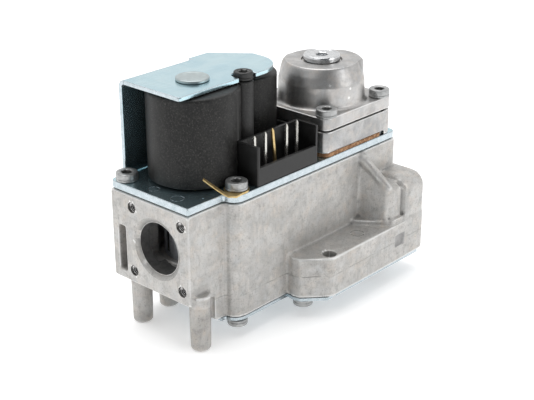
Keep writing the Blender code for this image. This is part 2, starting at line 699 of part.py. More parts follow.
def make_earth_tag(brass):
    """A washer under the front screw with a narrow tail that runs back and rises."""
    x, y = PLATE_SCREWS[1]
    low = PLATE_TOP + SEAM_GAP
    high = low + TAG_THICKNESS
    tag = part("earth_tag", rod((x, y), 4.3, low, high, 24), brass)
    lobe = [(15.6, -18.4, 0.8), (17.2, -21.2, 0.8), (23.4, -20.3, 0.8), (23.4, -16.4, 0), (17.5, -16.4, 0.8)]
    join(tag, prism(outline(lobe), low, high), "lobe")
    tail = [(17.2, -19.2, low), (15.9, -18.2, low + 0.3), (13.4, -15.2, 22.6), (11.6, -11.4, 25.2)]
    section = [(-0.5, 0.0), (0.5, 0.0), (0.5, TAG_THICKNESS), (-0.5, TAG_THICKNESS)]
    mesh = bmesh.new()
    rings = []
    for px, py, pz in tail:
        rings.append([mesh.verts.new((px + across, py, pz + rise)) for across, rise in section])
    for ring, other in zip(rings, rings[1:]):
        for k in range(4):
            m = (k + 1) % 4
            mesh.faces.new((ring[k], ring[m], other[m], other[k]))
    mesh.faces.new(rings[0])
    mesh.faces.new(rings[-1])
    join(tag, closed(mesh), "tail")
    cut(tag, rod((x, y), CLEAR_HOLE_R, 0, HUGE, 16), "hole")


# ---------------------------------------------------------------- regulator


def make_regulator(mats):
    x, y = REGULATOR
    left, right, front, back = REGULATOR_BLOCK
    square = rectangle(*REGULATOR_BLOCK, REGULATOR_CORNER_R)
    small = rectangle(left + 0.3, right - 4.8, front + 0.3, back - 0.3, REGULATOR_CORNER_R)
    cork = part("regulator_gasket", prism(small, PLATE_TOP + SEAM_GAP, CORK_TOP), mats["cork"])
    cut_holes(cork, REGULATOR_SCREWS, CLEAR_HOLE_R, 0, HUGE, "screw_hole")
    cut_holes(cork, REGULATOR_PORTS, 1.8, 0, HUGE, "port")

    base = part("regulator_base", prism(square, CORK_TOP + 0.15, REGULATOR_SEAM - 0.3), mats["casting"])
    lug = [(right - REGULATOR_LUG, front, 0), (right, front, REGULATOR_CORNER_R)]
    lug += [(right, back, REGULATOR_CORNER_R), (right - REGULATOR_LUG, back, 0)]
    join(base, prism(outline(lug), PLATE_TOP + SEAM_GAP, CORK_TOP + 2), "lug")
    well = [(13.8, HUGE), (13.8, 24.0), (2.6, 24.0), (2.6, 28.0), (1.0, 28.0), (1.0, 0.0)]
    cut(base, turned(well, REGULATOR), "well")
    cut_holes(base, REGULATOR_SCREWS, CLEAR_HOLE_R, 0, HUGE, "screw_hole")
    cut_holes(base, REGULATOR_PORTS[:1], PORT_R, 0, 25.0, "port")

    flange = prism(square, REGULATOR_SEAM + 0.3, REGULATOR_FLANGE_TOP)
    cover = part("regulator_cover", flange, mats["casting"])
    cone = [
        (15.0, REGULATOR_SEAM + 1),
        (16.2, REGULATOR_FLANGE_TOP - 0.5),
        (16.0, 43.5),
        (15.5, 46.0),
        (14.5, 48.3),
        (13.3, COVER_TOP),
    ]
    join(cover, turned(cone, REGULATOR, 36), "cone")
    cavity = [
        (13.8, 0.0),
        (13.8, 38.0),
        (12.0, 44.2),
        (7.4, 44.2),
        (7.4, 41.8),
        (5.4, 41.8),
        (5.4, 48.55),
        (7.6, 48.55),
        (7.6, HUGE),
    ]
    cut(cover, turned(cavity, REGULATOR), "cavity")
    cut_holes(cover, REGULATOR_SCREWS, CLEAR_HOLE_R, 0, HUGE, "screw_hole")

    rubber = [(8.7, 29.42), (10.0, 29.42), (11.4, 30.6), (13.0, 29.42), (17.0, 29.42), (17.0, 29.78)]
    rubber += [(13.2, 29.78), (11.4, 31.1), (9.8, 29.78), (8.7, 29.78)]
    part("regulator_diaphragm", turned(rubber, REGULATOR, hollow=True), mats["rubber"])
    plate = [(4.0, 28.15), (8.2, 29.2), (8.2, 30.9), (3.0, 30.9), (3.0, 31.6)]
    part("diaphragm_plate", turned(plate, REGULATOR), mats["aluminium"], (*REGULATOR, 28.15))
    spring = coil_spring(4.2, 0.45, 31.0, 39.7, 5, REGULATOR)
    part("regulator_spring", spring, mats["spring"], (*REGULATOR, 39.7))
    seat = [(3.3, 38.9), (3.3, 39.85), (4.9, 39.85), (4.9, 41.0)]
    part("spring_seat", turned(seat, REGULATOR, 24), mats["steel"], (*REGULATOR, 39.8))
    screw = part("adjusting_screw", rod(REGULATOR, 5.1, 41.3, 45.2, 28), mats["brass"], (*REGULATOR, 43.0))
    cut(screw, box(x - 4.0, x + 4.0, y - 0.6, y + 0.6, 44.0, 46.0), "driver_slot")
    make_cap(mats)


def make_cap(mats):
    """Plug that closes the adjusting hole, with a hexagon socket, and the seal ring under its head."""
    profile = [(4.6, 46.3), (5.1, 46.8), (5.1, 49.1), (6.8, 49.1), (6.8, 50.9), (6.4, 51.3)]
    cap = part("cap_plug", turned(profile, REGULATOR), mats["plug"], (*REGULATOR, 49.0))
    cut(cap, rod(REGULATOR, CAP_SOCKET_R, 49.6, HUGE, 6), "socket")
    ring = [(5.9 + 0.22 * cos(tau * i / 6), 48.86 + 0.22 * sin(tau * i / 6)) for i in range(6)]
    part("cap_seal", turned(ring, REGULATOR, 24, hollow=True), mats["rubber"], (*REGULATOR, 48.86))


clear_scene()
frame = bpy.data.objects.new("valve_frame", None)
bpy.context.scene.collection.objects.link(frame)
frame.location = Vector((-OUTLET_FACE / 2, -(BRACKET_BACK + FOOT_FRONT) / 2, -LEG_BOTTOM)) * MM

materials = {
    "casting": make_material("die_cast_aluminium", (0.53, 0.52, 0.50), 0.62, 0.55),
    "zinc": make_material("zinc_plated_steel", (0.62, 0.72, 0.75), 0.30, 0.85),
    "coil_black": make_material("glass_filled_plastic", (0.035, 0.035, 0.034), 0.55, 0.0),
    "connector_black": make_material("smooth_black_plastic", (0.022, 0.022, 0.022), 0.40, 0.0),
    "copper": make_material("enamelled_copper", (0.60, 0.24, 0.10), 0.35, 0.9),
    "rivet": make_material("rivet_steel", (0.50, 0.55, 0.56), 0.40, 0.85),
    "brass": make_material("brass", (0.62, 0.47, 0.22), 0.35, 0.9),
    "steel": make_material("steel", (0.42, 0.43, 0.44), 0.35, 0.9),
    "aluminium": make_material("aluminium", (0.62, 0.62, 0.63), 0.35, 0.9),
    "rubber": make_material("nitrile_rubber", (0.02, 0.02, 0.02), 0.75, 0.0),
    "seal": make_material("seam_gasket", (0.05, 0.05, 0.05), 0.80, 0.0),
    "spring": make_material("spring_wire", (0.50, 0.50, 0.50), 0.30, 0.9),
    "pin": make_material("tinned_pin", (0.62, 0.61, 0.57), 0.25, 0.9),
    "screw": make_material("zinc_screw", (0.36, 0.37, 0.38), 0.38, 0.85),
    "black_screw": make_material("black_oxide_screw", (0.03, 0.03, 0.03), 0.35, 0.6),
    "cork": make_material("cork_gasket", (0.36, 0.20, 0.12), 0.85, 0.0),
    "plug": make_material("bright_plug", (0.66, 0.67, 0.68), 0.15, 0.95),
}

make_valve_body(materials["casting"])
make_plates(materials["zinc"], materials["seal"])
make_screws(materials["screw"], materials["black_screw"])
make_main_solenoid(materials)
make_bracket(materials["zinc"])
make_servo_solenoid(materials)
make_second_valve(materials)
make_connector(materials)
make_earth_tag(materials["brass"])
make_regulator(materials)
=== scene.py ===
"""Looks of a boiler gas valve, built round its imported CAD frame.

Dimensions are millimetres in the valve's own frame, whose origin is the middle of the inlet flange's face:
+X runs along the body to the outlet, +Y to the back, +Z up. A piece becomes metres in the row frame when it
is finished.
"""

from math import atan2, ceil, cos, hypot, pi, radians, sin, tan, tau

import bmesh
import bpy
from mathutils import Matrix, Vector, noise


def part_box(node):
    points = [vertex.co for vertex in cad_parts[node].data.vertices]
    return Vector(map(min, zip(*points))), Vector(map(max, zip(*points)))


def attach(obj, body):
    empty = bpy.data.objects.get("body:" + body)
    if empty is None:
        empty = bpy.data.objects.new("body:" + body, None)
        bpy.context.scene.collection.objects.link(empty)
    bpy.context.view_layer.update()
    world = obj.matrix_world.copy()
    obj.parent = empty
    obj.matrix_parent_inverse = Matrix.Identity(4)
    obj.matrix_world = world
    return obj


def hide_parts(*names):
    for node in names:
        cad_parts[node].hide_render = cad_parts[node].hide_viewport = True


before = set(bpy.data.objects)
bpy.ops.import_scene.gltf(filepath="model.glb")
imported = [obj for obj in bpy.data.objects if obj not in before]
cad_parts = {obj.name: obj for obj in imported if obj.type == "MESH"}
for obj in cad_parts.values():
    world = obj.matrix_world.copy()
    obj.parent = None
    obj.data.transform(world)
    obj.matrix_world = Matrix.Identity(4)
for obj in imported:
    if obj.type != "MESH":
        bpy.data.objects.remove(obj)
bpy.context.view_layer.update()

MM = 0.001

# Where the valve's frame lies in the casting's box: the front of the foot and the ends of the legs
FOOT_FRONT = -34.4
LEG_BOTTOM = -34.5
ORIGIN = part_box("valve_body")[0] - Vector((0.0, FOOT_FRONT, LEG_BOTTOM)) * MM

# Axes of the working groups, all parallel to Z
MAIN = (22.7, 4.0)
SERVO = (51.7, 8.0)
REGULATOR = (82.9, -2.3)
POST = (38.4, -4.6)

# Heights of the faces that pieces stand on
PLATE_BOTTOM = 17.0
PLATE_TOP = 19.6
COIL_BOTTOM = 20.5
COIL_TOP = 52.0
SERVO_COIL_TOP = 49.8
BRACKET_BOTTOM = 52.5
BRACKET_TOP = 54.0
BRACKET_BACK = 23.0
REGULATOR_SEAM = 29.6
REGULATOR_FLANGE_TOP = 34.5
COVER_TOP = 49.2
SWELL_FROM = 43.5

# Flanges: the bore, the shallow cone round it, and the four tapped holes at the corners of a square
BORE_R = 9.45
SEAT_R = 10.9
RING_DEPTH = 1.1
BORE_DEPTH = 8.0
FLANGE_BOLT = 12.0
OUTLET_FACE = 108.2
OUTLET_AXIS = (-14.1, -10.9)
REGULATOR_BLOCK = (64.0, 103.0, -20.6, 17.0)
REGULATOR_BOLT = 15.4
LEGS = ((5.2, -15.0), (5.4, 14.7), (19.9, 16.5), (97.0, 11.5), (97.0, -12.0))
FOOT_HOLE = (55.1, -30.6)
PLATE_SCREWS = ((3.9, 18.0), (22.3, -16.4))
REGULATOR_SCREWS = [
    (REGULATOR[0] + dx * REGULATOR_BOLT, REGULATOR[1] + dy * REGULATOR_BOLT)
    for dx, dy in ((1, -1), (-1, -1), (-1, 1), (1, 1))
]
REGULATOR_PORTS = ((76.0, 4.0), (90.5, -7.5))
BASE_SCREWS = (
    (21.1, -17.3),
    (47.6, -24.8),
    (88.0, -27.0),
    (86.0, 18.5),
    (60.0, 19.0),
    (31.0, 18.5),
)

CLEARANCE_R = 2.2
FINE_STEP = radians(7.5)
HUGE = 60.0

# Material slots of the casting, after the skin's own; the bore, recess, leg and hole-shade slots carry
# painted shade
THREAD_SLOT, SHADED_BORE_SLOT, SHADED_RECESS_SLOT, SHADED_LEG_SLOT, HOLE_SHADE_SLOT = range(1, 6)


# ---------------------------------------------------------------- camera, light and floor


def row(point):
    """A point of the valve's frame, in the row frame."""
    return ORIGIN + Vector(point) * MM


def aim(thing, place, target):
    thing.location = place
    thing.rotation_mode = "QUATERNION"
    thing.rotation_quaternion = (Vector(target) - Vector(place)).to_track_quat("-Z", "Y")


def add_camera():
    data = bpy.data.cameras.new("camera")
    data.sensor_width = 36.0
    data.lens = 79.55
    data.clip_start = 0.01
    data.clip_end = 20.0
    camera = bpy.data.objects.new("camera", data)
    bpy.context.scene.collection.objects.link(camera)
    aim(camera, row((-240.864, -269.775, 175.283)), row((30.134, -23.083, 15.468)))
    bpy.context.scene.camera = camera


def add_softbox(name, place, size, power):
    data = bpy.data.lights.new(name, "AREA")
    data.shape = "RECTANGLE"
    data.size, data.size_y = size
    data.energy = power
    lamp = bpy.data.objects.new(name, data)
    bpy.context.scene.collection.objects.link(lamp)
    aim(lamp, place, (0.0, 0.0, 0.04))


def add_world():
    """A white cove, greyer towards the side where the camera stands, as in a small product studio."""
    world = bpy.data.worlds.new("studio")
    bpy.context.scene.world = world
    world.use_nodes = True
    tree = world.node_tree
    background = tree.nodes["Background"]
    coordinates = tree.nodes.new("ShaderNodeTexCoord")
    toward = tree.nodes.new("ShaderNodeVectorMath")
    toward.operation = "DOT_PRODUCT"
    toward.inputs[1].default_value = Vector((-0.52, -0.80, 0.30)).normalized()
    tree.links.new(coordinates.outputs["Generated"], toward.inputs[0])
    ramp = tree.nodes.new("ShaderNodeValToRGB")
    ramp.color_ramp.elements[0].position = 0.20
    ramp.color_ramp.elements[0].color = (1.0, 1.0, 1.0, 1.0)
    ramp.color_ramp.elements[1].position = 0.85
    ramp.color_ramp.elements[1].color = (0.16, 0.165, 0.17, 1.0)
    tree.links.new(toward.outputs["Value"], ramp.inputs["Fac"])
    tree.links.new(ramp.outputs["Color"], background.inputs["Color"])
    background.inputs["Strength"].default_value = 0.95


def add_floor(material):
    half = 3.0
    mesh = bpy.data.meshes.new("floor")
    corners = [(-half, -half, 0.0), (half, -half, 0.0), (half, half, 0.0), (-half, half, 0.0)]
    mesh.from_pydata(corners, [], [(0, 1, 2, 3)])
    floor = bpy.data.objects.new("floor", mesh)
    floor.location = (0.0, 0.0, -0.0001)
    bpy.context.scene.collection.objects.link(floor)
    mesh.materials.append(material)


# ---------------------------------------------------------------- materials


class Finish:
    """A procedural material on one Principled shader, with patterns in the piece's own space."""

    def __init__(self, name, **constants):
        self.material = bpy.data.materials.new(name)
        self.material.use_nodes = True
        self.tree = self.material.node_tree
        self.shader = self.tree.nodes["Principled BSDF"]
        for socket, value in constants.items():
            self.shader.inputs[socket.replace("_", " ")].default_value = value
        self.place = self.tree.nodes.new("ShaderNodeTexCoord").outputs["Object"]
        self.normal = None

    def node(self, kind, inputs, **settings):
        made = self.tree.nodes.new(kind)
        for key, value in settings.items():
            setattr(made, key, value)
        for key, value in inputs.items():
            if isinstance(value, bpy.types.NodeSocket):
                self.tree.links.new(value, made.inputs[key])
            else:
                made.inputs[key].default_value = value
        return made

    def math(self, operation, first, second=0.0):
        return self.node("ShaderNodeMath", {0: first, 1: second}, operation=operation).outputs[0]

    def noise(self, size, detail=3.0, roughness=0.55, distortion=0.0, stretch=(1.0, 1.0, 1.0)):
        """Cloudy noise, 0 to 1, whose lumps are about that many millimetres across."""
        scale = [1.0 / (size * MM * factor) for factor in stretch]
        vector = self.node("ShaderNodeMapping", {"Vector": self.place, "Scale": scale}).outputs[0]
        inputs = {
            "Vector": vector,
            "Scale": 1.0,
            "Detail": detail,
            "Roughness": roughness,
            "Distortion": distortion,
        }
        return self.node("ShaderNodeTexNoise", inputs).outputs[0]

    def cells(self, size):
        """Grains about that many millimetres across."""
        scale = (1.0 / (size * MM),) * 3
        vector = self.node("ShaderNodeMapping", {"Vector": self.place, "Scale": scale}).outputs[0]
        return self.node("ShaderNodeTexVoronoi", {"Vector": vector, "Scale": 1.0})

    def remap(self, value, low, high, to_low=0.0, to_high=1.0):
        inputs = {
            "Value": value,
            "From Min": low,
            "From Max": high,
            "To Min": to_low,
            "To Max": to_high,
        }
        return self.node("ShaderNodeMapRange", inputs, interpolation_type="SMOOTHSTEP").outputs[0]

    def mix(self, share, first, second):
        """Two colours mixed; each is a socket or an (r, g, b)."""
        inputs = {0: share}
        for key, value in ((6, first), (7, second)):
            inputs[key] = value if isinstance(value, bpy.types.NodeSocket) else (*value, 1.0)
        return self.node("ShaderNodeMix", inputs, data_type="RGBA").outputs[2]

    def axis(self, name):
        return self.node("ShaderNodeSeparateXYZ", {0: self.place}).outputs[name]

    def radius(self, centre):
        """Distance from a vertical axis through that point of the valve's frame, in metres."""
        middle = row((*centre, 0.0))
        moved = self.node(
            "ShaderNodeVectorMath", {0: self.place, 1: middle}, operation="SUBTRACT"
        ).outputs[0]
        flat = self.node(
            "ShaderNodeVectorMath", {0: moved, 1: (1.0, 1.0, 0.0)}, operation="MULTIPLY"
        ).outputs[0]
        return self.node("ShaderNodeVectorMath", {0: flat}, operation="LENGTH").outputs["Value"]

    def pointiness(self):
        return self.tree.nodes.new("ShaderNodeNewGeometry").outputs["Pointiness"]

    def bump(self, height, depth, strength=1.0):
        """Adds relief of that many millimetres to what is there already."""
        inputs = {"Height": height, "Distance": depth * MM, "Strength": strength}
        if self.normal is not None:
            inputs["Normal"] = self.normal
        self.normal = self.node("ShaderNodeBump", inputs).outputs[0]

    def done(self, colour, roughness=None):
        for name, value in (("Base Color", colour), ("Roughness", roughness)):
            if value is not None:
                self.tree.links.new(value, self.shader.inputs[name])
        if self.normal is not None:
            self.tree.links.new(self.normal, self.shader.inputs["Normal"])
        return self.material


def floor_finish():
    made = Finish("floor", Roughness=0.9, Specular_IOR_Level=0.1, Emission_Strength=0.30)
    made.shader.inputs["Emission Color"].default_value = (1.0, 1.0, 1.0, 1.0)
    shade = made.noise(400.0, 2.0)
    return made.done(made.mix(made.remap(shade, 0.3, 0.7), (0.93, 0.93, 0.93), (0.96, 0.96, 0.96)))


def casting_finish(name, light, dark, metallic=0.5, roughness=(0.36, 0.52), wear=1.0, parting_z=None):
    """Bead-blasted die casting: warm and cold grey patches, dark pores, a wavy skin, rubbed edges and painted
    shade in the hollows.
    """
    made = Finish(name, Metallic=metallic)
    clouds = made.noise(9.0, 4.0, 0.6, 0.8)
    patches = made.noise(2.4, 5.0, 0.68, 0.4)
    tint = made.noise(4.5, 3.0, 0.6, 0.5)
    grain = made.noise(0.55, 3.0, 0.65)
    streaks = made.noise(0.7, 3.0, 0.6, stretch=(1.0, 1.0, 7.0))
    colour = made.mix(made.remap(clouds, 0.34, 0.66), dark, light)
    warm = tuple(a * b for a, b in zip(light, (1.03, 0.955, 0.885)))
    cold = tuple(a * b for a, b in zip(light, (0.91, 0.95, 0.99)))
    colour = made.mix(made.remap(tint, 0.48, 0.80, 0.0, 0.80), colour, warm)
    colour = made.mix(made.remap(tint, 0.50, 0.20, 0.0, 0.80), colour, cold)
    deep = tuple(0.60 * a for a in dark)
    colour = made.mix(made.remap(patches, 0.48, 0.78, 0.0, 0.62 * wear), colour, deep)
    colour = made.mix(made.remap(streaks, 0.50, 0.78, 0.0, 0.40 * wear), colour, deep)
    colour = made.mix(made.remap(grain, 0.52, 0.74, 0.0, 0.60 * wear), colour, tuple(0.42 * a for a in dark))
    edge = made.pointiness()
    colour = made.mix(made.remap(edge, 0.515, 0.55, 0.0, 0.75), colour, (0.86, 0.86, 0.85))
    # Painted shade: hollows and inner corners, where pointiness is low, are darkened.
    colour = made.mix(made.remap(edge, 0.487, 0.45, 0.0, 0.85), colour, tuple(0.30 * a for a in dark))
    if parting_z is not None:
        height = made.math("SUBTRACT", made.axis("Z"), row((0.0, 0.0, parting_z)).z)
        wander = made.math("MULTIPLY", made.math("SUBTRACT", made.noise(8.0, 3.0), 0.5), 0.8 * MM)
        away = made.math("ABSOLUTE", made.math("ADD", height, wander))
        ridge = made.remap(away, 0.0, 0.28 * MM, 1.0, 0.0)
        broken = made.math("MULTIPLY", ridge, made.remap(made.noise(5.0, 3.0), 0.36, 0.56))
        colour = made.mix(made.math("MULTIPLY", broken, 0.55), colour, deep)
        made.bump(broken, 0.16, 0.8)
    made.bump(made.noise(6.5, 2.0, 0.5), 0.45, 0.35 * wear)
    made.bump(made.noise(1.5, 4.0, 0.6), 0.10, 0.5 * wear)
    made.bump(grain, 0.04, 0.8 * wear)
    return made.done(colour, made.remap(patches, 0.3, 0.7, *roughness))


def zinc_finish():
    """Blue-passivated zinc on sheet steel: a cold tint that drifts, and rolling marks."""
    made = Finish("zinc_plated_steel", Metallic=0.94)
    drift = made.noise(16.0, 3.0, 0.6, 0.8)
    rolled = made.noise(0.6, 3.0, 0.6, stretch=(18.0, 1.0, 1.0))
    bloom = made.noise(1.4, 4.0, 0.7)
    colour = made.mix(made.remap(drift, 0.3, 0.7), (0.44, 0.635, 0.71), (0.54, 0.715, 0.765))
    colour = made.mix(made.remap(bloom, 0.55, 0.8, 0.0, 0.25), colour, (0.74, 0.76, 0.72))
    colour = made.mix(made.remap(rolled, 0.35, 0.7, 0.0, 0.14), colour, (0.42, 0.52, 0.56))
    made.bump(made.noise(5.0, 2.0), 0.03, 0.15)
    made.bump(bloom, 0.003, 0.3)
    return made.done(colour, made.remap(bloom, 0.3, 0.75, 0.17, 0.27))


def coil_finish():
    """Glass-filled moulding: matt black, grey with fibre ends and dust, in blotches."""
    made = Finish("coil_moulding", Specular_IOR_Level=0.30)
    fibres = made.cells(0.62)
    speck = made.remap(fibres.outputs["Distance"], 0.12, 0.34, 1.0, 0.0)
    pick = made.node("ShaderNodeSeparateColor", {0: fibres.outputs["Color"]}).outputs[0]
    speck = made.math("MULTIPLY", speck, made.remap(pick, 0.55, 0.85))
    blotch = made.noise(3.2, 4.0, 0.6, 0.4)
    dust = made.noise(0.62, 5.0, 0.8)
    colour = made.mix(made.remap(blotch, 0.3, 0.7), (0.003, 0.003, 0.003), (0.011, 0.011, 0.010))
    colour = made.mix(made.remap(dust, 0.46, 0.70, 0.0, 0.85), colour, (0.056, 0.054, 0.052))
    colour = made.mix(made.math("MULTIPLY", speck, 0.38), colour, (0.17, 0.165, 0.155))
    colour = made.mix(made.remap(made.pointiness(), 0.51, 0.58, 0.0, 0.5), colour, (0.12, 0.12, 0.12))
    made.bump(made.noise(2.4, 3.0, 0.6), 0.06, 0.3)
    made.bump(dust, 0.045, 0.8)
    return made.done(colour, made.remap(dust, 0.3, 0.75, 0.36, 0.62))


def connector_finish():
    made = Finish("connector_moulding", Specular_IOR_Level=0.40)
    skin = made.noise(0.3, 3.0, 0.6)
    sheen = made.noise(5.0, 3.0, 0.6, 0.5)
    colour = made.mix(made.remap(sheen, 0.3, 0.7), (0.007, 0.007, 0.007), (0.014, 0.014, 0.014))
    made.bump(made.noise(3.0, 2.0), 0.04, 0.3)
    made.bump(skin, 0.008, 0.6)
    return made.done(colour, made.remap(sheen, 0.3, 0.7, 0.30, 0.42))


def plated_finish(name, light, dark, roughness, metallic=0.9, grain_size=0.5):
    """Plain plated or bare metal: small cloudy changes of tone and gloss, and fine scuffs."""
    made = Finish(name, Metallic=metallic)
    tone = made.noise(2.2, 4.0, 0.6, 0.4)
    scuff = made.noise(grain_size, 3.0, 0.65, 0.5)
    colour = made.mix(made.remap(tone, 0.3, 0.7), dark, light)
    colour = made.mix(made.remap(scuff, 0.58, 0.76, 0.0, 0.45), colour, tuple(0.6 * a for a in dark))
    made.bump(tone, 0.02, 0.4)
    made.bump(scuff, 0.012, 0.5)
    return made.done(colour, made.remap(scuff, 0.3, 0.7, *roughness))


def turned_finish(name, centre, light, dark, roughness, metallic=0.95):
    """Metal turned on a lathe: rings round the part's own axis."""
    made = Finish(name, Metallic=metallic)
    distance = made.math("MULTIPLY", made.radius(centre), tau / (0.22 * MM))
    rings = made.math("SINE", distance)
    wobble = made.noise(1.5, 3.0, 0.6)
    tone = made.math("ADD", made.math("MULTIPLY", rings, 0.12), wobble)
    colour = made.mix(made.remap(tone, 0.3, 0.7), dark, light)
    made.bump(rings, 0.004, 0.5)
    made.bump(wobble, 0.01, 0.4)
    return made.done(colour, made.remap(wobble, 0.3, 0.7, *roughness))


def wire_finish():
    """Enamelled copper wire, wound in level turns, with painted shade in the grooves between turns."""
    made = Finish("enamelled_wire", Metallic=0.85, Coat_Weight=0.4, Coat_Roughness=0.15)
    turns = made.math("SINE", made.math("MULTIPLY", made.axis("Z"), tau / (0.36 * MM)))
    tone = made.noise(1.8, 3.0)
    colour = made.mix(made.remap(tone, 0.3, 0.7), (0.50, 0.17, 0.06), (0.66, 0.27, 0.11))
    # Painted shade: the troughs between turns are darkened.
    colour = made.mix(made.remap(turns, -0.6, -1.0, 0.0, 0.8), colour, (0.10, 0.03, 0.01))
    made.bump(turns, 0.10, 0.8)
    return made.done(colour, made.remap(tone, 0.3, 0.7, 0.28, 0.42))


def cork_finish():
    made = Finish("cork_gasket", Specular_IOR_Level=0.2)
    granules = made.cells(0.9)
    tone = made.node("ShaderNodeSeparateColor", {0: granules.outputs["Color"]}).outputs[0]
    fine = made.noise(0.3, 4.0, 0.7)
    colour = made.mix(made.remap(tone, 0.1, 0.9), (0.24, 0.125, 0.065), (0.46, 0.27, 0.15))
    colour = made.mix(made.remap(fine, 0.55, 0.78, 0.0, 0.6), colour, (0.12, 0.06, 0.035))
    made.bump(granules.outputs["Distance"], 0.08, 0.5)
    made.bump(fine, 0.04, 0.6)
    return made.done(colour, made.remap(fine, 0.3, 0.7, 0.78, 0.92))


def rubber_finish(name, tone):
    made = Finish(name, Specular_IOR_Level=0.35)
    bloom = made.noise(2.0, 4.0, 0.65)
    skin = made.noise(0.22, 3.0, 0.6)
    colour = made.mix(made.remap(bloom, 0.35, 0.75), (tone,) * 3, (2.2 * tone,) * 3)
    made.bump(skin, 0.02, 0.5)
    return made.done(colour, made.remap(bloom, 0.3, 0.7, 0.62, 0.80))


# ---------------------------------------------------------------- shapes, as bmesh in millimetres


def outline(corners, step=FINE_STEP):
    """Points of a polygon whose corners (x, y, radius) are rounded; a radius of 0 keeps a corner sharp."""
    points = []
    count = len(corners)
    for index, (x, y, radius) in enumerate(corners):
        here = Vector((x, y))
        if not radius:
            points.append(here)
            continue
        to_last = (Vector(corners[index - 1][:2]) - here).normalized()
        to_next = (Vector(corners[(index + 1) % count][:2]) - here).normalized()
        half = to_last.angle(to_next) / 2
        centre = here + (to_last + to_next).normalized() * radius / sin(half)
        first = here + to_last * radius / tan(half) - centre
        last = here + to_next * radius / tan(half) - centre
        turn = atan2(first.cross(last), first.dot(last))
        steps = max(2, ceil(abs(turn) / step))
        for i in range(steps + 1):
            points.append(centre + Matrix.Rotation(turn * i / steps, 2) @ first)
    return [(p.x, p.y) for p in points]


def circle(x, y, radius, segments=64):
    turns = [tau * i / segments for i in range(segments)]
    return [(x + radius * cos(turn), y + radius * sin(turn)) for turn in turns]


def rectangle(x0, x1, y0, y1, radius=0.0):
    return outline([(x0, y0, radius), (x1, y0, radius), (x1, y1, radius), (x0, y1, radius)])


def closed(mesh):
    bmesh.ops.recalc_face_normals(mesh, faces=mesh.faces)
    return mesh


def prism(points, low, high):
    """A flat outline run from low to high along Z."""
    mesh = bmesh.new()
    lower = [mesh.verts.new((x, y, low)) for x, y in points]
    upper = [mesh.verts.new((x, y, high)) for x, y in points]
    mesh.faces.new(lower)
    mesh.faces.new(upper)
    for i, vert in enumerate(lower):
        j = (i + 1) % len(lower)
        mesh.faces.new((vert, lower[j], upper[j], upper[i]))
    return closed(mesh)


def box(x0, x1, y0, y1, z0, z1):
    return prism(rectangle(x0, x1, y0, y1), z0, z1)


def stack(rings, hollow=False):
    """Rings of points joined one to the next; the ends are flat faces, or meet if the shape is hollow."""
    mesh = bmesh.new()
    rings = [[mesh.verts.new(point) for point in ring] for ring in rings]
    count = len(rings[0])
    for ring, other in zip(rings, rings[1:] + rings[:1] if hollow else rings[1:]):
        for i in range(count):
            j = (i + 1) % count
            mesh.faces.new((ring[i], ring[j], other[j], other[i]))
    if not hollow:
        mesh.faces.new(rings[0])
        mesh.faces.new(rings[-1])
    return closed(mesh)


def rounded(profile, hollow=False):
    """A profile of (radius, z, fillet) corners as plain points; a solid one ends square to the axis."""
    corners = [(*corner, 0.0)[:3] for corner in profile]
    if hollow:
        return outline(corners, radians(15))
    whole = [(0.0, corners[0][1], 0.0), *corners, (0.0, corners[-1][1], 0.0)]
    return outline(whole, radians(15))[1:-1]


def turned(profile, at=(0.0, 0.0), segments=96, hollow=False):
    """A profile of (radius, z, fillet) corners turned round a vertical axis."""
    profile = rounded(profile, hollow)
    rings = [[(x, y, z) for x, y in circle(*at, radius, segments)] for radius, z in profile]
    return stack(rings, hollow)


def rod(at, radius, low, high, segments=64):
    return turned([(radius, low), (radius, high)], at, segments)


def along_x(mesh, y, z):
    """Lays a shape made round the Z axis along X, so that its height becomes x."""
    for vert in mesh.verts:
        a, b, c = vert.co
        vert.co = (c, y + a, z + b)
    return mesh


def threaded(minor, major, low, high, at=(0.0, 0.0), pitch=0.7, segments=32):
    """A rod with a helical thread, for a screw's shank or to cut a tapped hole."""
    steps = ceil((high - low) / pitch * 7)
    rings = []
    for i in range(steps + 1):
        z = low + (high - low) * i / steps
        ring = []
        for k in range(segments):
            turn = tau * k / segments
            radius = minor + (major - minor) * (0.5 + 0.5 * cos(turn - tau * z / pitch))
            ring.append((at[0] + radius * cos(turn), at[1] + radius * sin(turn), z))
        rings.append(ring)
    return rings


def together(*meshes):
    """Several separate shapes in one mesh."""
    whole = bmesh.new()
    for mesh in meshes:
        data = bpy.data.meshes.new("part")
        mesh.to_mesh(data)
        mesh.free()
        whole.from_mesh(data)
        bpy.data.meshes.remove(data)
    return whole


def work_object(mesh):
    data = bpy.data.meshes.new("work")
    mesh.to_mesh(data)
    mesh.free()
    made = bpy.data.objects.new("work", data)
    bpy.context.scene.collection.objects.link(made)
    return made


def evaluated(thing):
    """The bmesh that an object's modifiers give; the object goes."""
    graph = bpy.context.evaluated_depsgraph_get()
    data = bpy.data.meshes.new_from_object(thing.evaluated_get(graph))
    old = thing.data
    bpy.data.objects.remove(thing)
    bpy.data.meshes.remove(old)
    mesh = bmesh.new()
    mesh.from_mesh(data)
    bpy.data.meshes.remove(data)
    return mesh


def combine(mesh, *steps, solver="MANIFOLD"):
    """Booleans one after another: each step is ("UNION" or "DIFFERENCE", shape)."""
    target = work_object(mesh)
    helpers = []
    for operation, shape in steps:
        helper = work_object(shape)
        modifier = target.modifiers.new("step", "BOOLEAN")
        modifier.operation = operation
        modifier.solver = solver
        modifier.object = helper
        helpers.append(helper)
    result = evaluated(target)
    for helper in helpers:
        old = helper.data
        bpy.data.objects.remove(helper)
        bpy.data.meshes.remove(old)
    return result


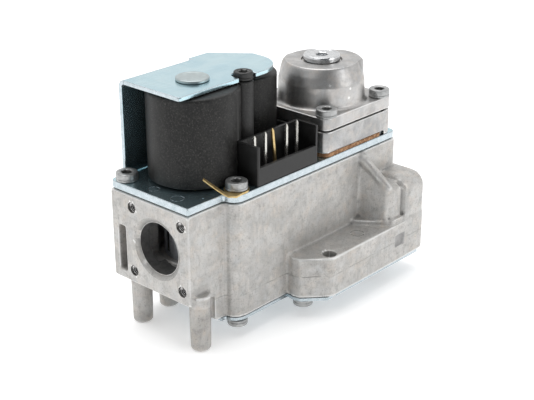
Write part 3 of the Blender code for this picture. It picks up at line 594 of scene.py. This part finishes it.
def soften(mesh, width, segments=2, angle=radians(30)):
    """Merges flat neighbours, then rounds the sharp edges by that width."""
    bmesh.ops.remove_doubles(mesh, verts=mesh.verts, dist=0.002)
    bmesh.ops.dissolve_limit(mesh, angle_limit=radians(1.0), verts=mesh.verts, edges=mesh.edges)
    sharp = [e for e in mesh.edges if len(e.link_faces) == 2 and e.calc_face_angle() > angle]
    bmesh.ops.bevel(
        mesh,
        geom=sharp,
        offset=width,
        segments=segments,
        profile=0.5,
        affect="EDGES",
        clamp_overlap=True,
    )
    return mesh


def cast_skin(mesh, voxel, passes, waviness=0.03):
    """Turns a sharp solid into a casting: small even facets, rounded edges and a slightly wavy skin."""
    thing = work_object(mesh)
    remesh = thing.modifiers.new("voxels", "REMESH")
    remesh.mode = "VOXEL"
    remesh.voxel_size = voxel
    relax = thing.modifiers.new("relax", "SMOOTH")
    relax.factor = 0.5
    relax.iterations = passes
    made = evaluated(thing)
    made.normal_update()
    for vert in made.verts:
        swell = noise.noise(vert.co / 5.0) * waviness
        vert.co -= vert.normal * (abs(swell) if swell > 0 else -swell * 0.5)
    return made


def cad_shape(node):
    """A copy of a CAD node's mesh in the valve's frame, with its split vertices merged."""
    mesh = bmesh.new()
    mesh.from_mesh(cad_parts[node].data)
    bmesh.ops.transform(mesh, matrix=Matrix.Translation(-ORIGIN), verts=mesh.verts)
    bmesh.ops.scale(mesh, vec=(1 / MM,) * 3, verts=mesh.verts)
    bmesh.ops.remove_doubles(mesh, verts=mesh.verts, dist=0.0005)
    return mesh


def finish_piece(name, mesh, materials, body, slot, *nodes, angle=35, flat_area=0.0):
    """Makes a millimetre bmesh a piece, in metres in the row frame, that rides a body and replaces nodes."""
    mesh.faces.index_update()
    flat = [face.index for face in mesh.faces if flat_area and face.calc_area() > flat_area]
    bmesh.ops.scale(mesh, vec=(MM,) * 3, verts=mesh.verts)
    bmesh.ops.translate(mesh, vec=ORIGIN, verts=mesh.verts)
    data = bpy.data.meshes.new(name)
    mesh.to_mesh(data)
    mesh.free()
    for material in materials if isinstance(materials, list) else [materials]:
        data.materials.append(material)
    data.shade_smooth()
    data.set_sharp_from_angle(angle=radians(angle))
    for index in flat:
        data.polygons[index].use_smooth = False
    piece = bpy.data.objects.new(name, data)
    piece.modifiers.new("even_shading", "WEIGHTED_NORMAL").keep_sharp = True
    bpy.context.scene.collection.objects.link(piece)
    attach(piece, body)
    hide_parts(*nodes)
    return piece


# ---------------------------------------------------------------- casting


def flange_cutters(y, z, face, inward):
    """Crisp machined seat, bore and tapped holes of a pipe flange whose face is at x = face."""

    def place(mesh):
        if inward < 0:
            for vert in mesh.verts:
                vert.co.x *= -1
            closed(mesh)
        bmesh.ops.translate(mesh, vec=(face, 0.0, 0.0), verts=mesh.verts)
        return mesh

    seat = turned(
        [
            (SEAT_R + 1.6, -1.0),
            (SEAT_R + 0.4, 0.0),
            (SEAT_R + 0.1, 0.4),
            (BORE_R + 0.25, RING_DEPTH),
        ]
    )
    # The rings between the ends only keep the wall's faces short.
    bore = turned([(BORE_R, depth) for depth in (0.5, 1.6, 2.2, 3.0, 4.0, 5.0, 6.0, 7.0, BORE_DEPTH)])
    pieces = [place(along_x(seat, y, z)), place(along_x(bore, y, z))]
    for dy in (-FLANGE_BOLT, FLANGE_BOLT):
        for dz in (-FLANGE_BOLT, FLANGE_BOLT):
            shank = stack(threaded(1.48, 1.92, -1.0, 8.6))
            mouth = turned([(2.4, -0.5), (1.95, 0.05), (1.6, 0.35)], segments=32)
            for mesh in (mouth, shank):
                mesh = place(along_x(mesh, y + dy, z + dz))
                for face_in in mesh.faces:
                    face_in.material_index = THREAD_SLOT
                pieces.append(mesh)
    return pieces


def mark_rubbed_edges(mesh):
    """Gives the narrow slanting faces round a sheet its second material."""
    mesh.normal_update()
    for face in mesh.faces:
        axes = sorted(abs(part) for part in face.normal)
        slanting = 0.15 < axes[1] and axes[2] < 0.985 and abs(face.normal.z) > 0.1
        if slanting and face.calc_area() < 25.0:
            face.material_index = 1


def inset(points, amount):
    """The same outline moved inwards by a small amount, point by point."""
    moved = []
    count = len(points)
    area = sum(p[0] * q[1] - q[0] * p[1] for p, q in zip(points, points[1:] + points[:1]))
    side = 1.0 if area > 0 else -1.0
    for i in range(count):
        here = Vector(points[i])
        into = (here - Vector(points[i - 1])).normalized()
        out = (Vector(points[(i + 1) % count]) - here).normalized()
        first = Vector((-into.y, into.x)) * side
        second = Vector((-out.y, out.x)) * side
        both = first + second
        moved.append(tuple(here + both * (2 * amount / both.length_squared)))
    return moved


def sheet(points, low, high, edge):
    """A flat sheet whose outer edges are rubbed round."""
    levels = ((low, edge), (low + 0.35 * edge, 0.35 * edge), (low + edge, 0.0))
    levels += ((high - edge, 0.0), (high - 0.35 * edge, 0.35 * edge), (high, edge))
    return stack([[(x, y, z) for x, y in inset(points, by)] for z, by in levels])


def capsule(start, end, radius):
    """A rod with round ends between two points."""
    start, end = Vector(start), Vector(end)
    length = (end - start).length
    mesh = bmesh.new()
    bmesh.ops.create_uvsphere(mesh, u_segments=32, v_segments=16, radius=radius)
    for vert in mesh.verts:
        if vert.co.z > 0.001:
            vert.co.z += length
    turn = (end - start).to_track_quat("Z", "Y").to_matrix()
    bmesh.ops.rotate(mesh, matrix=turn, verts=mesh.verts)
    bmesh.ops.translate(mesh, vec=start, verts=mesh.verts)
    return mesh


def pier_head():
    """The domed head of the pier beside the outlet flange."""
    rings = []
    for z, drawn_in in ((-2.0, 0.0), (0.8, 0.0), (1.9, 0.25), (2.9, 0.8), (3.5, 1.5), (3.9, 2.6)):
        corners = [
            (84.5 + drawn_in, -16.0, 0),
            (87.6 + drawn_in, -29.6 + 0.3 * drawn_in, 2.2),
            (90.4 + 0.4 * drawn_in, -32.1 + drawn_in, 2.2),
            (98.0, -32.1 + drawn_in, 0),
            (98.0, -16.0, 0),
        ]
        rings.append([(x, y, z) for x, y in outline(corners, radians(15))])
    return stack(rings)


def soften_region(mesh, inside, passes):
    """Rounds off the edges of a fine mesh where inside(point) holds."""
    verts = [vert for vert in mesh.verts if inside(vert.co)]
    axes = {"use_axis_x": True, "use_axis_y": True, "use_axis_z": True}
    for _ in range(passes):
        bmesh.ops.smooth_vert(mesh, verts=verts, factor=0.5, **axes)


def make_body():
    groove_foot, groove_bend = (96.2, -32.5, -8.6), (96.2, -32.5, 2.2)
    groove_top, groove_end = (95.4, -28.5, 5.0), (91.5, -23.0, 5.6)
    fill_r = SEAT_R + 0.4
    shape = combine(
        cad_shape("valve_body"),
        # The rib's bead and the pier, with the groove between the pier and the outlet flange
        ("UNION", capsule((85.0, -21.2, 14.1), (89.2, -30.4, 3.5), 1.85)),
        ("UNION", pier_head()),
        ("DIFFERENCE", capsule(groove_foot, groove_bend, 1.0)),
        ("DIFFERENCE", capsule(groove_bend, groove_top, 1.0)),
        ("DIFFERENCE", capsule(groove_top, groove_end, 1.0)),
        # Both ports are filled, to be cut again crisply after the skin is made
        ("UNION", along_x(rod((0, 0), fill_r, 0.02, 5.0), 0.0, 0.0)),
        ("UNION", along_x(rod((0, 0), fill_r, 103.2, OUTLET_FACE - 0.02), *OUTLET_AXIS)),
    )
    shape = cast_skin(shape, 0.5, 3)
    soften_region(shape, lambda p: 86.0 < p.x < 94.0 and p.z > -8.6 and p.y < -27.5, 10)
    soften_region(shape, lambda p: 97.0 < p.x < 99.5 and p.z > -8.8 and p.y < -20.9, 9)
    # The lower rim reaches down over the seam gasket, except at the inlet flange.
    for vert in shape.verts:
        if vert.co.x > 12.4 and -26.5 < vert.co.z < -25.95:
            vert.co.z -= 0.40
    cutters = flange_cutters(0.0, 0.0, 0.0, 1) + flange_cutters(*OUTLET_AXIS, OUTLET_FACE, -1)
    ledge_ring = [(2.3, -11.36), (2.6, -11.36), (2.75, -10.6), (2.15, -10.6)]
    cutters.append(turned(ledge_ring, (75.2, -27.4), 48, True))
    foot_hole = [(2.5, -27.5), (2.5, -11.6), (2.9, -11.1), (2.9, -9.0)]
    cutters.append(turned(foot_hole, FOOT_HOLE))
    shape = combine(shape, *[("DIFFERENCE", cutter) for cutter in cutters])
    for face in shape.faces:
        x, y, z = face.calc_center_median()
        # Painted shade: in the tapped holes, the thread roots and the mouths away from the crests turn dark.
        if face.material_index == THREAD_SLOT:
            if x < 20.0 and hypot(abs(y) - FLANGE_BOLT, abs(z) - FLANGE_BOLT) > 1.66:
                face.material_index = HOLE_SHADE_SLOT
        # Painted shade: the inlet bore's wall is given a dark finish.
        elif RING_DEPTH + 0.1 < x < BORE_DEPTH + 0.1 and hypot(y, z) < BORE_R + 0.3:
            face.material_index = SHADED_BORE_SLOT
        # Painted shade: the recess in the foot's front is given a darker finish.
        elif 90.0 < x < 96.4 and -34.1 < y < -32.9 and -20.6 < z < -15.6:
            face.material_index = SHADED_RECESS_SLOT
        # Painted shade: the legs below the body are given a darker, warmer casting finish.
        elif z < -17.6 and any(hypot(x - at_x, y - at_y) < 4.2 for at_x, at_y in LEGS):
            face.material_index = SHADED_LEG_SLOT
    finishes = [CAST, THREAD, SHADED_BORE, SHADED_RECESS, SHADED_LEG, HOLE_SHADE]
    finish_piece("cast_body", shape, finishes, "valve", "die_cast_aluminium", "valve_body")


# ---------------------------------------------------------------- plates and gaskets


def make_plates():
    plan = outline(
        [
            (0.0, -15.6, 0.6),
            (16.9, -15.6, 0.8),
            (16.9, -20.6, 4.8),
            (106.0, -20.6, 2.5),
            (106.0, 22.8, 2.5),
            (0.0, 22.8, 2.5),
        ]
    )
    cuts = [rod(MAIN, 6.4, 0, HUGE), rod(SERVO, 4.7, 0, HUGE)]
    cuts += [rod(at, CLEARANCE_R, 0, HUGE, 32) for at in (*PLATE_SCREWS, *REGULATOR_SCREWS)]
    cuts += [rod(at, 1.6, 0, HUGE, 32) for at in REGULATOR_PORTS]
    # Ejector rings and a punch mark, pressed into the top; the rings' grooves get the edge finish as a
    # painted highlight.
    for at, radius in (((4.3, 5.0), 2.05), ((4.0, -6.7), 2.4)):
        groove = [(radius - 0.3, 19.48), (radius, 19.48), (radius + 0.1, 20), (radius - 0.4, 20)]
        cuts.append(turned(groove, at, 48, True))
        for face in cuts[-1].faces:
            face.material_index = 1
    cuts.append(rod((9.8, -13.0), 0.35, 19.42, 20.0, 24))
    plate = combine(sheet(plan, PLATE_BOTTOM, PLATE_TOP, 0.22), *[("DIFFERENCE", c) for c in cuts])
    mark_rubbed_edges(plate)
    for face in plate.faces:
        if abs(face.normal.z) < 0.5:
            face.material_index = 1
    finish_piece("plate", plate, [ZINC, RUBBED_ZINC_AND_HIGHLIGHT], "valve", "zinc_plated_steel", "top_plate", flat_area=30.0)

    # Drawn in at the inlet and along the foot, so that only a thin edge shows.
    base = combine(
        cad_shape("bottom_plate"),
        ("DIFFERENCE", box(0.0, 14.8, -40, 40, -40, -20)),
        ("DIFFERENCE", box(40, 110, -40, -33.3, -40, -20)),
    )
    base = soften(base, 0.12)
    finish_piece("base_plate", base, RUBBED_ZINC_AND_HIGHLIGHT, "valve", "zinc_plated_steel", "bottom_plate", flat_area=30.0)
    for name in ("top_gasket", "bottom_gasket"):
        seal = soften(cad_shape(name), 0.04, 1)
        finish_piece(name + "_sheet", seal, SEAM, "valve", "seam_gasket", name)
    left, right, front, back = REGULATOR_BLOCK
    cork = prism(rectangle(left + 0.3, right - 4.8, front + 0.3, back - 0.3, 3.0), 19.74, 21.2)
    cuts = [rod(at, CLEARANCE_R, 0, HUGE, 32) for at in REGULATOR_SCREWS]
    cuts += [rod(at, 1.8, 0, HUGE, 32) for at in REGULATOR_PORTS]
    cork = soften(combine(cork, *[("DIFFERENCE", c) for c in cuts]), 0.15)
    finish_piece("cork_sheet", cork, CORK, "valve", "cork_gasket", "regulator_gasket")


# ---------------------------------------------------------------- fasteners


def star(x, y, z, radius, lobe, segments):
    """A ring with six lobes, or with none when lobe is 0."""
    ring = []
    for k in range(segments):
        turn = tau * k / segments
        reach = radius + lobe * cos(6 * turn)
        ring.append((x + reach * cos(turn), y + reach * sin(turn), z))
    return ring


def make_screw(name, at, seat, up, head_r, height, length, material, slot):
    """Cheese-head screw: threaded shank, washer and head with a groove between them, six-lobe socket."""
    x, y = at
    segments = 60
    shank = 1.5
    rings = [star(x, y, -length, 0.9, 0, segments), star(x, y, -length + 0.35, 1.3, 0, segments)]
    thread_top = -length + min(length - 1.5, 9.0)
    rings += threaded(1.38, 1.66, -length + 0.6, thread_top, at, 0.7, segments)
    rings += [star(x, y, z, r, 0, segments) for r, z in ((shank, thread_top + 0.2), (shank, 0.0))]
    body = [
        (head_r - 0.1, 0.0, 0),
        (head_r, 0.1, 0),
        (head_r, 0.72, 0.12),
        (head_r - 0.22, 0.84, 0),
        (head_r - 0.22, 0.98, 0),
        (head_r - 0.06, 1.08, 0),
        (head_r - 0.06, height, 0.42),
        (2.6, height, 0.1),
        (2.45, height - 0.06, 0),
    ]
    for r, z in rounded(body):
        rings.append(star(x, y, z, r, 0, segments))
    rings.append(star(x, y, height - 0.1, 2.0, 0.14, segments))
    rings.append(star(x, y, height - 0.28, 1.72, 0.26, segments))
    rings.append(star(x, y, height - 1.45, 1.66, 0.26, segments))
    rings.append(star(x, y, height - 1.75, 0.4, 0, segments))
    rings = [[(px, py, seat + up * pz) for px, py, pz in ring] for ring in rings]
    solid = stack(rings)
    # Painted shade: the deep faces of the socket are given a dark finish.
    for face in solid.faces:
        middle = face.calc_center_median()
        deep = up * (middle.z - seat) > height - 1.8
        if deep and hypot(middle.x - x, middle.y - y) < 1.95:
            face.material_index = 1
    finish_piece(name + "_solid", solid, [material, SOCKET_SHADE], "valve", slot, name)


def make_screws():
    for number, at in enumerate(PLATE_SCREWS, 1):
        seat = PLATE_TOP + (0.84 if number == 2 else 0.12)
        make_screw(f"plate_screw_{number}", at, seat, 1, 3.9, 2.9, 10.5, SCREW, "zinc_screw")
    for number, at in enumerate(REGULATOR_SCREWS, 1):
        make_screw(f"regulator_screw_{number}", at, 34.62, 1, 3.9, 2.9, 26.0, SCREW, "zinc_screw")
    for number, at in enumerate(BASE_SCREWS, 1):
        make_screw(f"base_screw_{number}", at, -28.02, -1, 3.7, 2.4, 8.0, SCREW, "zinc_screw")
    make_screw("coil_screw", POST, 52.6, 1, 3.4, 2.7, 9.0, BLACK_SCREW, "black_screw")


# ---------------------------------------------------------------- strainer


def make_strainer():
    """Cage round the first valve, closed where the gas from the inlet would strike it."""
    windows = []
    for turn in (15, 45, 75, 105, 135, 165, 255, 285, 315, 345):
        window = prism(outline([(4, -1.1, 0), (16, -1.1, 0), (16, 1.1, 0), (4, 1.1, 0)]), -6.8, 12.6)
        bmesh.ops.rotate(window, verts=window.verts, matrix=Matrix.Rotation(radians(turn), 3, "Z"))
        bmesh.ops.translate(window, verts=window.verts, vec=(*MAIN, 0))
        windows.append(("DIFFERENCE", window))
    tube = turned([(11.0, -8.8), (11.5, -8.8), (11.5, 14.6), (11.0, 14.6)], MAIN, 120, hollow=True)
    finish_piece("strainer_cage", combine(tube, *windows), STEEL, "valve", "steel", "inlet_strainer")


# ---------------------------------------------------------------- coils and bracket


def make_coils():
    post_top = BRACKET_BOTTOM - 0.3
    shell = turned([(16.2, COIL_BOTTOM, 0.4), (16.2, COIL_TOP, 1.2), (7.3, COIL_TOP)], MAIN, 144)
    main = combine(
        shell,
        ("UNION", turned([(3.5, COIL_BOTTOM), (3.5, post_top, 0.4)], POST, 48)),
        ("DIFFERENCE", rod(POST, 1.8, 42.0, HUGE, 32)),
        ("DIFFERENCE", box(28.2, 41.0, -HUGE, -10.3, 0, 34.3)),
        ("DIFFERENCE", rod(MAIN, 14.0, 21.2, 49.9, 72)),
        ("DIFFERENCE", rod(MAIN, 7.3, 0.0, HUGE, 72)),
    )
    finish_piece("main_coil_shell", main, COIL, "valve", "coil_moulding", "main_coil_housing")

    shell = turned([(12.0, COIL_BOTTOM, 0.4), (12.0, SERVO_COIL_TOP, 0.9)], SERVO, 120)
    web = prism(rectangle(39.3, 45.0, 0.5, 15.5, 0.4), COIL_BOTTOM, 48.3)
    servo = combine(
        shell,
        ("UNION", web),
        ("DIFFERENCE", rod(SERVO, 9.6, 21.2, 48.2, 72)),
        ("DIFFERENCE", rod(SERVO, 4.6, 0.0, HUGE, 72)),
    )
    finish_piece("servo_coil_shell", servo, COIL, "valve", "coil_moulding", "servo_coil_housing")

    core = [
        (5.1, 38.2, 0.3),
        (5.1, 52.2),
        (4.0, 52.2),
        (4.0, 54.15),
        (5.8, 54.15, 0.15),
        (5.8, 55.2, 0.5),
        (4.6, 55.2, 0.3),
        (4.4, 55.12, 0.2),
    ]
    core = turned(core, MAIN, 96)
    finish_piece("core_rivet", core, RIVET, "valve", "core_steel", "main_core")


def make_bracket():
    """Flat top with a round end, a notch for the coil screw, and a back leg bent down from it."""
    bend_r = 2.6
    thick = BRACKET_TOP - BRACKET_BOTTOM
    bend_y = BRACKET_BACK - bend_r
    bend_z = BRACKET_TOP - bend_r
    plan = [
        (6.3, bend_y, 0),
        (6.3, -6.7, 1.2),
        (34.25, -6.7, 0.3),
        (34.5, -0.7, 3.8),
        (42.3, -0.7, 3.8),
        (42.6, -6.7, 0.3),
        (59.3, -6.7, 12.8),
        (59.3, 10.2, 1.5),
        (48.9, BRACKET_BACK, 1.5),
        (39.2, BRACKET_BACK, 0.3),
        (39.2, bend_y, 0),
    ]
    top = sheet(outline(plan, radians(5)), BRACKET_BOTTOM, BRACKET_TOP, 0.2)
    top = combine(top, ("DIFFERENCE", rod(MAIN, 4.4, 0, 2 * HUGE)))
    quarter = [pi / 2 * i / 12 for i in range(13)]
    inner_r = bend_r - thick
    leg_bottom = PLATE_TOP + 0.2
    rings = []
    for x, edge in ((6.3, 0.2), (6.37, 0.07), (6.5, 0.0), (39.0, 0.0), (39.13, 0.07), (39.2, 0.2)):
        outer = bend_r - edge
        inner = inner_r + edge
        ring = [(bend_y - 0.15, BRACKET_TOP - edge)]
        ring += [(bend_y + outer * sin(t), bend_z + outer * cos(t)) for t in quarter]
        ring += [(BRACKET_BACK - edge, leg_bottom), (BRACKET_BACK - thick + edge, leg_bottom)]
        ring += [(bend_y + inner * sin(t), bend_z + inner * cos(t)) for t in reversed(quarter)]
        ring += [(bend_y - 0.15, BRACKET_BOTTOM + edge)]
        rings.append([(x, y, z) for y, z in ring])
    bracket = together(top, stack(rings))
    mark_rubbed_edges(bracket)
    for face in bracket.faces:
        if abs(face.normal.x) > 0.7 and face.calc_area() < 80.0:
            face.material_index = 1
    finishes = [ZINC, RUBBED_ZINC_AND_HIGHLIGHT]
    finish_piece(
        "bracket_sheet", bracket, finishes, "valve", "zinc_plated_steel", "coil_bracket", flat_area=30.0
    )


# ---------------------------------------------------------------- connector and earth tag


def make_connector():
    x0, x1, y0, y1 = 28.5, 59.8, -20.4, -10.6
    wall = 1.2
    pin_y = -15.7
    cuts = [
        box(x0 + wall, x1 - wall, y0 + wall, y1 - wall, 22.0, HUGE),
        box(x0 + wall, x1 - wall, -HUGE, pin_y, 26.4, HUGE),
    ]
    pins = [31.9 + 5.45 * number for number in range(5)]
    cuts += [box(x - 0.8, x + 0.8, pin_y - 0.7, pin_y + 0.7, 0, 23.0) for x in pins]
    shell = prism(rectangle(x0, x1, y0, y1, 0.5), PLATE_TOP + 0.3, 34.0)
    shell = soften(combine(shell, *[("DIFFERENCE", c) for c in cuts]), 0.14)
    finish_piece("connector_shell", shell, CONNECTOR, "valve", "connector_moulding", "connector_housing")
    for number, x in enumerate(pins, 1):
        lean = number == 3
        rings = []
        for z, share in ((20.4, 1.0), (33.0, 1.0), (35.2, 1.0), (35.9, 0.6), (36.2, 0.35)):
            drift = -1.9 * max(0.0, (z - 21.5) / 14.7) if lean else 0.0
            wide, deep = 0.5 * share, 0.4 * share
            middle = x + drift
            high = z + (0.4 if lean and z > 35 else 0.0)
            section = rectangle(middle - wide, middle + wide, pin_y - deep, pin_y + deep, 0.1)
            rings.append([(px, py, high) for px, py in section])
        slot = "brass" if lean else "tinned_pin"
        metal = BRASS if lean else TINNED
        finish_piece(f"pin_{number}", stack(rings), metal, "valve", slot, f"connector_pin_{number}")


def make_earth_tag():
    """Washer with a square lobe under the front screw, and a narrow tail that rises to the back."""
    x, y = PLATE_SCREWS[1]
    low, high = 19.72, 20.32
    lobe = [
        (15.6, -18.4, 0.8),
        (17.2, -21.2, 0.8),
        (23.4, -20.3, 0.8),
        (23.4, -16.4, 0),
        (17.5, -16.4, 0.8),
    ]
    path = [
        (18.6, -19.4, low),
        (17.2, -19.2, low),
        (15.9, -18.2, low + 0.3),
        (13.4, -15.2, 22.6),
        (11.6, -11.4, 25.2),
    ]
    points = [Vector(p) for p in path]
    rings = []
    steps = 24
    for i in range(steps + 1):
        t = i / steps * (len(points) - 1)
        k = min(int(t), len(points) - 2)
        before = points[max(k - 1, 0)]
        after = points[min(k + 2, len(points) - 1)]
        u = t - k
        p, q = points[k], points[k + 1]
        here = 0.5 * (
            2 * p + (q - before) * u + (2 * before - 5 * p + 4 * q - after) * u * u
            + (3 * p - before - 3 * q + after) * u ** 3
        )
        width = 1.15 - 0.35 * i / steps
        thick = high - low
        corners = [(-width, 0), (width, 0), (width, thick), (-width, thick)]
        section = outline([(*corner, 0.12) for corner in corners], radians(45))
        ring = [here + Vector((0.8 * across, 0.6 * across, rise)) for across, rise in section]
        rings.append(ring)
    tag = combine(
        turned([(4.3, low), (4.3, high)], (x, y), 64),
        ("UNION", prism(outline(lobe), low, high)),
        ("UNION", stack(rings)),
        ("DIFFERENCE", rod((x, y), CLEARANCE_R, 0, HUGE, 32)),
        solver="EXACT",
    )
    tag = soften(tag, 0.06, 1, radians(50))
    finish_piece("earth_tag_sheet", tag, BRASS, "valve", "brass", "earth_tag", angle=40)


# ---------------------------------------------------------------- regulator


def drum_swell(turn, height):
    """How far the cast rim of the cover stands out beyond its cone, at an angle round the drum."""
    reach = 0.0
    for middle, half, most in ((-20.0, 38.0, 1.9), (115.0, 18.0, 0.8)):
        away = abs((turn - radians(middle) + pi) % tau - pi)
        if away < radians(half):
            reach += most * min(1.0, 2.2 * (1 - away / radians(half)))
    return reach * min(max((height - SWELL_FROM) / 5.0, 0.0), 1.0)


def make_regulator():
    square = rectangle(*REGULATOR_BLOCK, 3.0)
    base = cast_skin(cad_shape("regulator_base"), 0.35, 3, 0.02)
    bolts = [rod(at, CLEARANCE_R, 0, HUGE, 32) for at in REGULATOR_SCREWS]
    base = combine(base, *[("DIFFERENCE", c) for c in bolts])
    finish_piece("regulator_block", base, BLOCK, "valve", "die_cast_aluminium", "regulator_base")

    cone = [
        (15.0, 31.0),
        (17.4, REGULATOR_FLANGE_TOP - 0.3),
        (17.1, 34.55),
        (16.25, 35.3, 0.8),
        (16.0, 42.6),
        (14.9, 46.0),
        (13.7, 48.6),
        (13.3, COVER_TOP),
    ]
    cavity = [(13.8, 0.0), (13.8, 38.0), (12.0, 44.2), (6.0, 44.2)]
    cover = combine(
        prism(square, REGULATOR_SEAM + 0.3, REGULATOR_FLANGE_TOP),
        ("UNION", turned(cone, REGULATOR, 144)),
        ("DIFFERENCE", turned(cavity, REGULATOR, 72)),
        solver="EXACT",
    )
    cover = cast_skin(cover, 0.33, 2, 0.03)
    for vert in cover.verts:
        away = vert.co.xy - Vector(REGULATOR)
        if vert.co.z > SWELL_FROM and away.length > 10.5:
            share = min((away.length - 10.5) / 3.5, 1.0)
            swell = drum_swell(atan2(away.y, away.x), vert.co.z) * share
            vert.co.xy += away.normalized() * swell
    cuts = [rod(at, CLEARANCE_R, 0, HUGE, 32) for at in REGULATOR_SCREWS]
    plug_hole = [
        (7.4, 41.0),
        (7.4, 44.3),
        (5.4, 44.3),
        (5.4, 48.55),
        (7.6, 48.55),
        (7.6, 48.95),
        (8.3, 50.5),
    ]
    cuts.append(turned(plug_hole, REGULATOR, 96))
    cover = combine(cover, *[("DIFFERENCE", c) for c in cuts])
    finish_piece("regulator_drum", cover, COVER, "valve", "die_cast_aluminium", "regulator_cover")

    x, y = REGULATOR
    profile = [
        (4.6, 46.3),
        (5.1, 46.8),
        (5.1, 49.1),
        (6.7, 49.1, 0.1),
        (6.8, 49.2, 0.1),
        (6.8, 50.6, 0.1),
        (6.45, 51.3, 0.35),
        (5.6, 51.3, 0.2),
        (5.3, 51.12, 0.2),
        (3.1, 51.12, 0.1),
    ]
    segments = 96
    rings = [star(x, y, z, r, 0, segments) for r, z in rounded(profile)]
    rings.append(star(x, y, 51.0, 2.5, 0.1, segments))
    rings.append(star(x, y, 50.85, 2.2, 0.18, segments))
    rings.append(star(x, y, 49.65, 2.15, 0.18, segments))
    rings.append(star(x, y, 49.5, 0.5, 0, segments))
    finish_piece("plug_solid", stack(rings), PLUG, "cap", "bright_plug", "cap_plug")


# ---------------------------------------------------------------- nodes that keep their CAD mesh


def dress_inner_nodes():
    wears = {
        WIRE: ("main_coil_winding", "servo_coil_winding"),
        CONNECTOR: ("main_coil_bobbin",),
        BRASS: ("main_guide_tube", "servo_guide_tube", "adjusting_screw"),
        STEEL: ("main_armature", "servo_armature", "servo_core", "spring_seat"),
        TURNED: ("main_valve_disc", "second_valve_disc", "second_valve_stem", "diaphragm_plate"),
        RUBBER: (
            "main_valve_seal",
            "second_valve_seal",
            "servo_seal",
            "main_diaphragm",
            "regulator_diaphragm",
            "cap_seal",
        ),
        SPRING: ("main_closing_spring", "servo_spring", "second_valve_spring", "regulator_spring"),
    }
    for material, names in wears.items():
        for name in names:
            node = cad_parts[name]
            node.data.materials.clear()
            node.data.materials.append(material)


# ---------------------------------------------------------------- run

add_camera()
add_world()
add_softbox("key", (-0.75, -0.10, 0.75), (0.7, 0.7), 0.85)
add_softbox("side", (0.35, -0.95, 0.45), (0.6, 0.5), 2.2)
add_softbox("top", (0.10, 0.25, 1.1), (0.9, 0.9), 6.0)
scene = bpy.context.scene
scene.view_settings.view_transform = "Standard"
scene.view_settings.look = "None"
add_floor(floor_finish())

CAST = casting_finish("die_cast_aluminium", (0.575, 0.563, 0.543), (0.455, 0.444, 0.427), parting_z=-18.2)
BLOCK = casting_finish("regulator_casting", (0.50, 0.495, 0.49), (0.35, 0.35, 0.35), 0.88, (0.30, 0.44), 0.7)
COVER = casting_finish("cover_casting", (0.54, 0.53, 0.52), (0.39, 0.385, 0.38), 0.92, (0.33, 0.46), 0.45)
# Painted shade for the inside of the screw sockets.
SOCKET_SHADE = plated_finish("socket_painted_shade", (0.22, 0.22, 0.215), (0.08, 0.08, 0.08), (0.40, 0.55), 0.6)
# Painted shade for the recess in the foot's front.
SHADED_RECESS = plated_finish("recess_painted_shade", (0.42, 0.415, 0.41), (0.34, 0.335, 0.33), (0.45, 0.6), 0.4)
THREAD = plated_finish("tapped_hole", (0.86, 0.85, 0.84), (0.66, 0.65, 0.64), (0.20, 0.32), 0.9)
# Painted shade for the inside of the inlet bore.
SHADED_BORE = plated_finish("bore_painted_shade", (0.17, 0.167, 0.163), (0.11, 0.108, 0.106), (0.42, 0.58), 0.35)
# Painted shade for the legs under the body.
SHADED_LEG = casting_finish("leg_painted_shade", (0.50, 0.482, 0.458), (0.39, 0.377, 0.36))
# Painted shade for the roots and mouths of the tapped holes.
HOLE_SHADE = plated_finish("tapped_hole_painted_shade", (0.07, 0.065, 0.06), (0.03, 0.03, 0.03), (0.4, 0.6), 0.4)
ZINC = zinc_finish()
# Rubbed sheet edges, and a painted highlight in the plate's ejector-ring grooves.
RUBBED_ZINC_AND_HIGHLIGHT = plated_finish("rubbed_zinc_and_painted_highlight", (0.57, 0.63, 0.67), (0.45, 0.52, 0.55), (0.20, 0.34))
COIL = coil_finish()
CONNECTOR = connector_finish()
SCREW = plated_finish("zinc_screw", (0.50, 0.505, 0.50), (0.34, 0.345, 0.345), (0.34, 0.50), 0.85)
BLACK_SCREW = plated_finish("black_screw", (0.045, 0.045, 0.045), (0.025, 0.025, 0.025), (0.35, 0.5), 0.5)
RIVET = turned_finish("core_steel", MAIN, (0.47, 0.53, 0.535), (0.38, 0.43, 0.435), (0.34, 0.46))
PLUG = turned_finish("bright_plug", REGULATOR, (0.72, 0.73, 0.74), (0.58, 0.59, 0.60), (0.12, 0.22))
BRASS = plated_finish("brass", (0.66, 0.50, 0.24), (0.52, 0.37, 0.16), (0.28, 0.42))
TINNED = plated_finish("tinned_pin", (0.68, 0.67, 0.63), (0.55, 0.54, 0.50), (0.20, 0.34))
STEEL = plated_finish("steel", (0.48, 0.50, 0.53), (0.36, 0.38, 0.41), (0.30, 0.46))
SPRING = plated_finish("spring_wire", (0.56, 0.56, 0.55), (0.42, 0.42, 0.42), (0.22, 0.36), 0.95, 0.3)
TURNED = plated_finish("turned_aluminium", (0.66, 0.66, 0.67), (0.54, 0.54, 0.55), (0.28, 0.42))
WIRE = wire_finish()
CORK = cork_finish()
SEAM = rubber_finish("seam_gasket", 0.035)
RUBBER = rubber_finish("nitrile_rubber", 0.016)

make_body()
make_plates()
make_screws()
make_strainer()
make_coils()
make_bracket()
make_connector()
make_earth_tag()
make_regulator()
dress_inner_nodes()
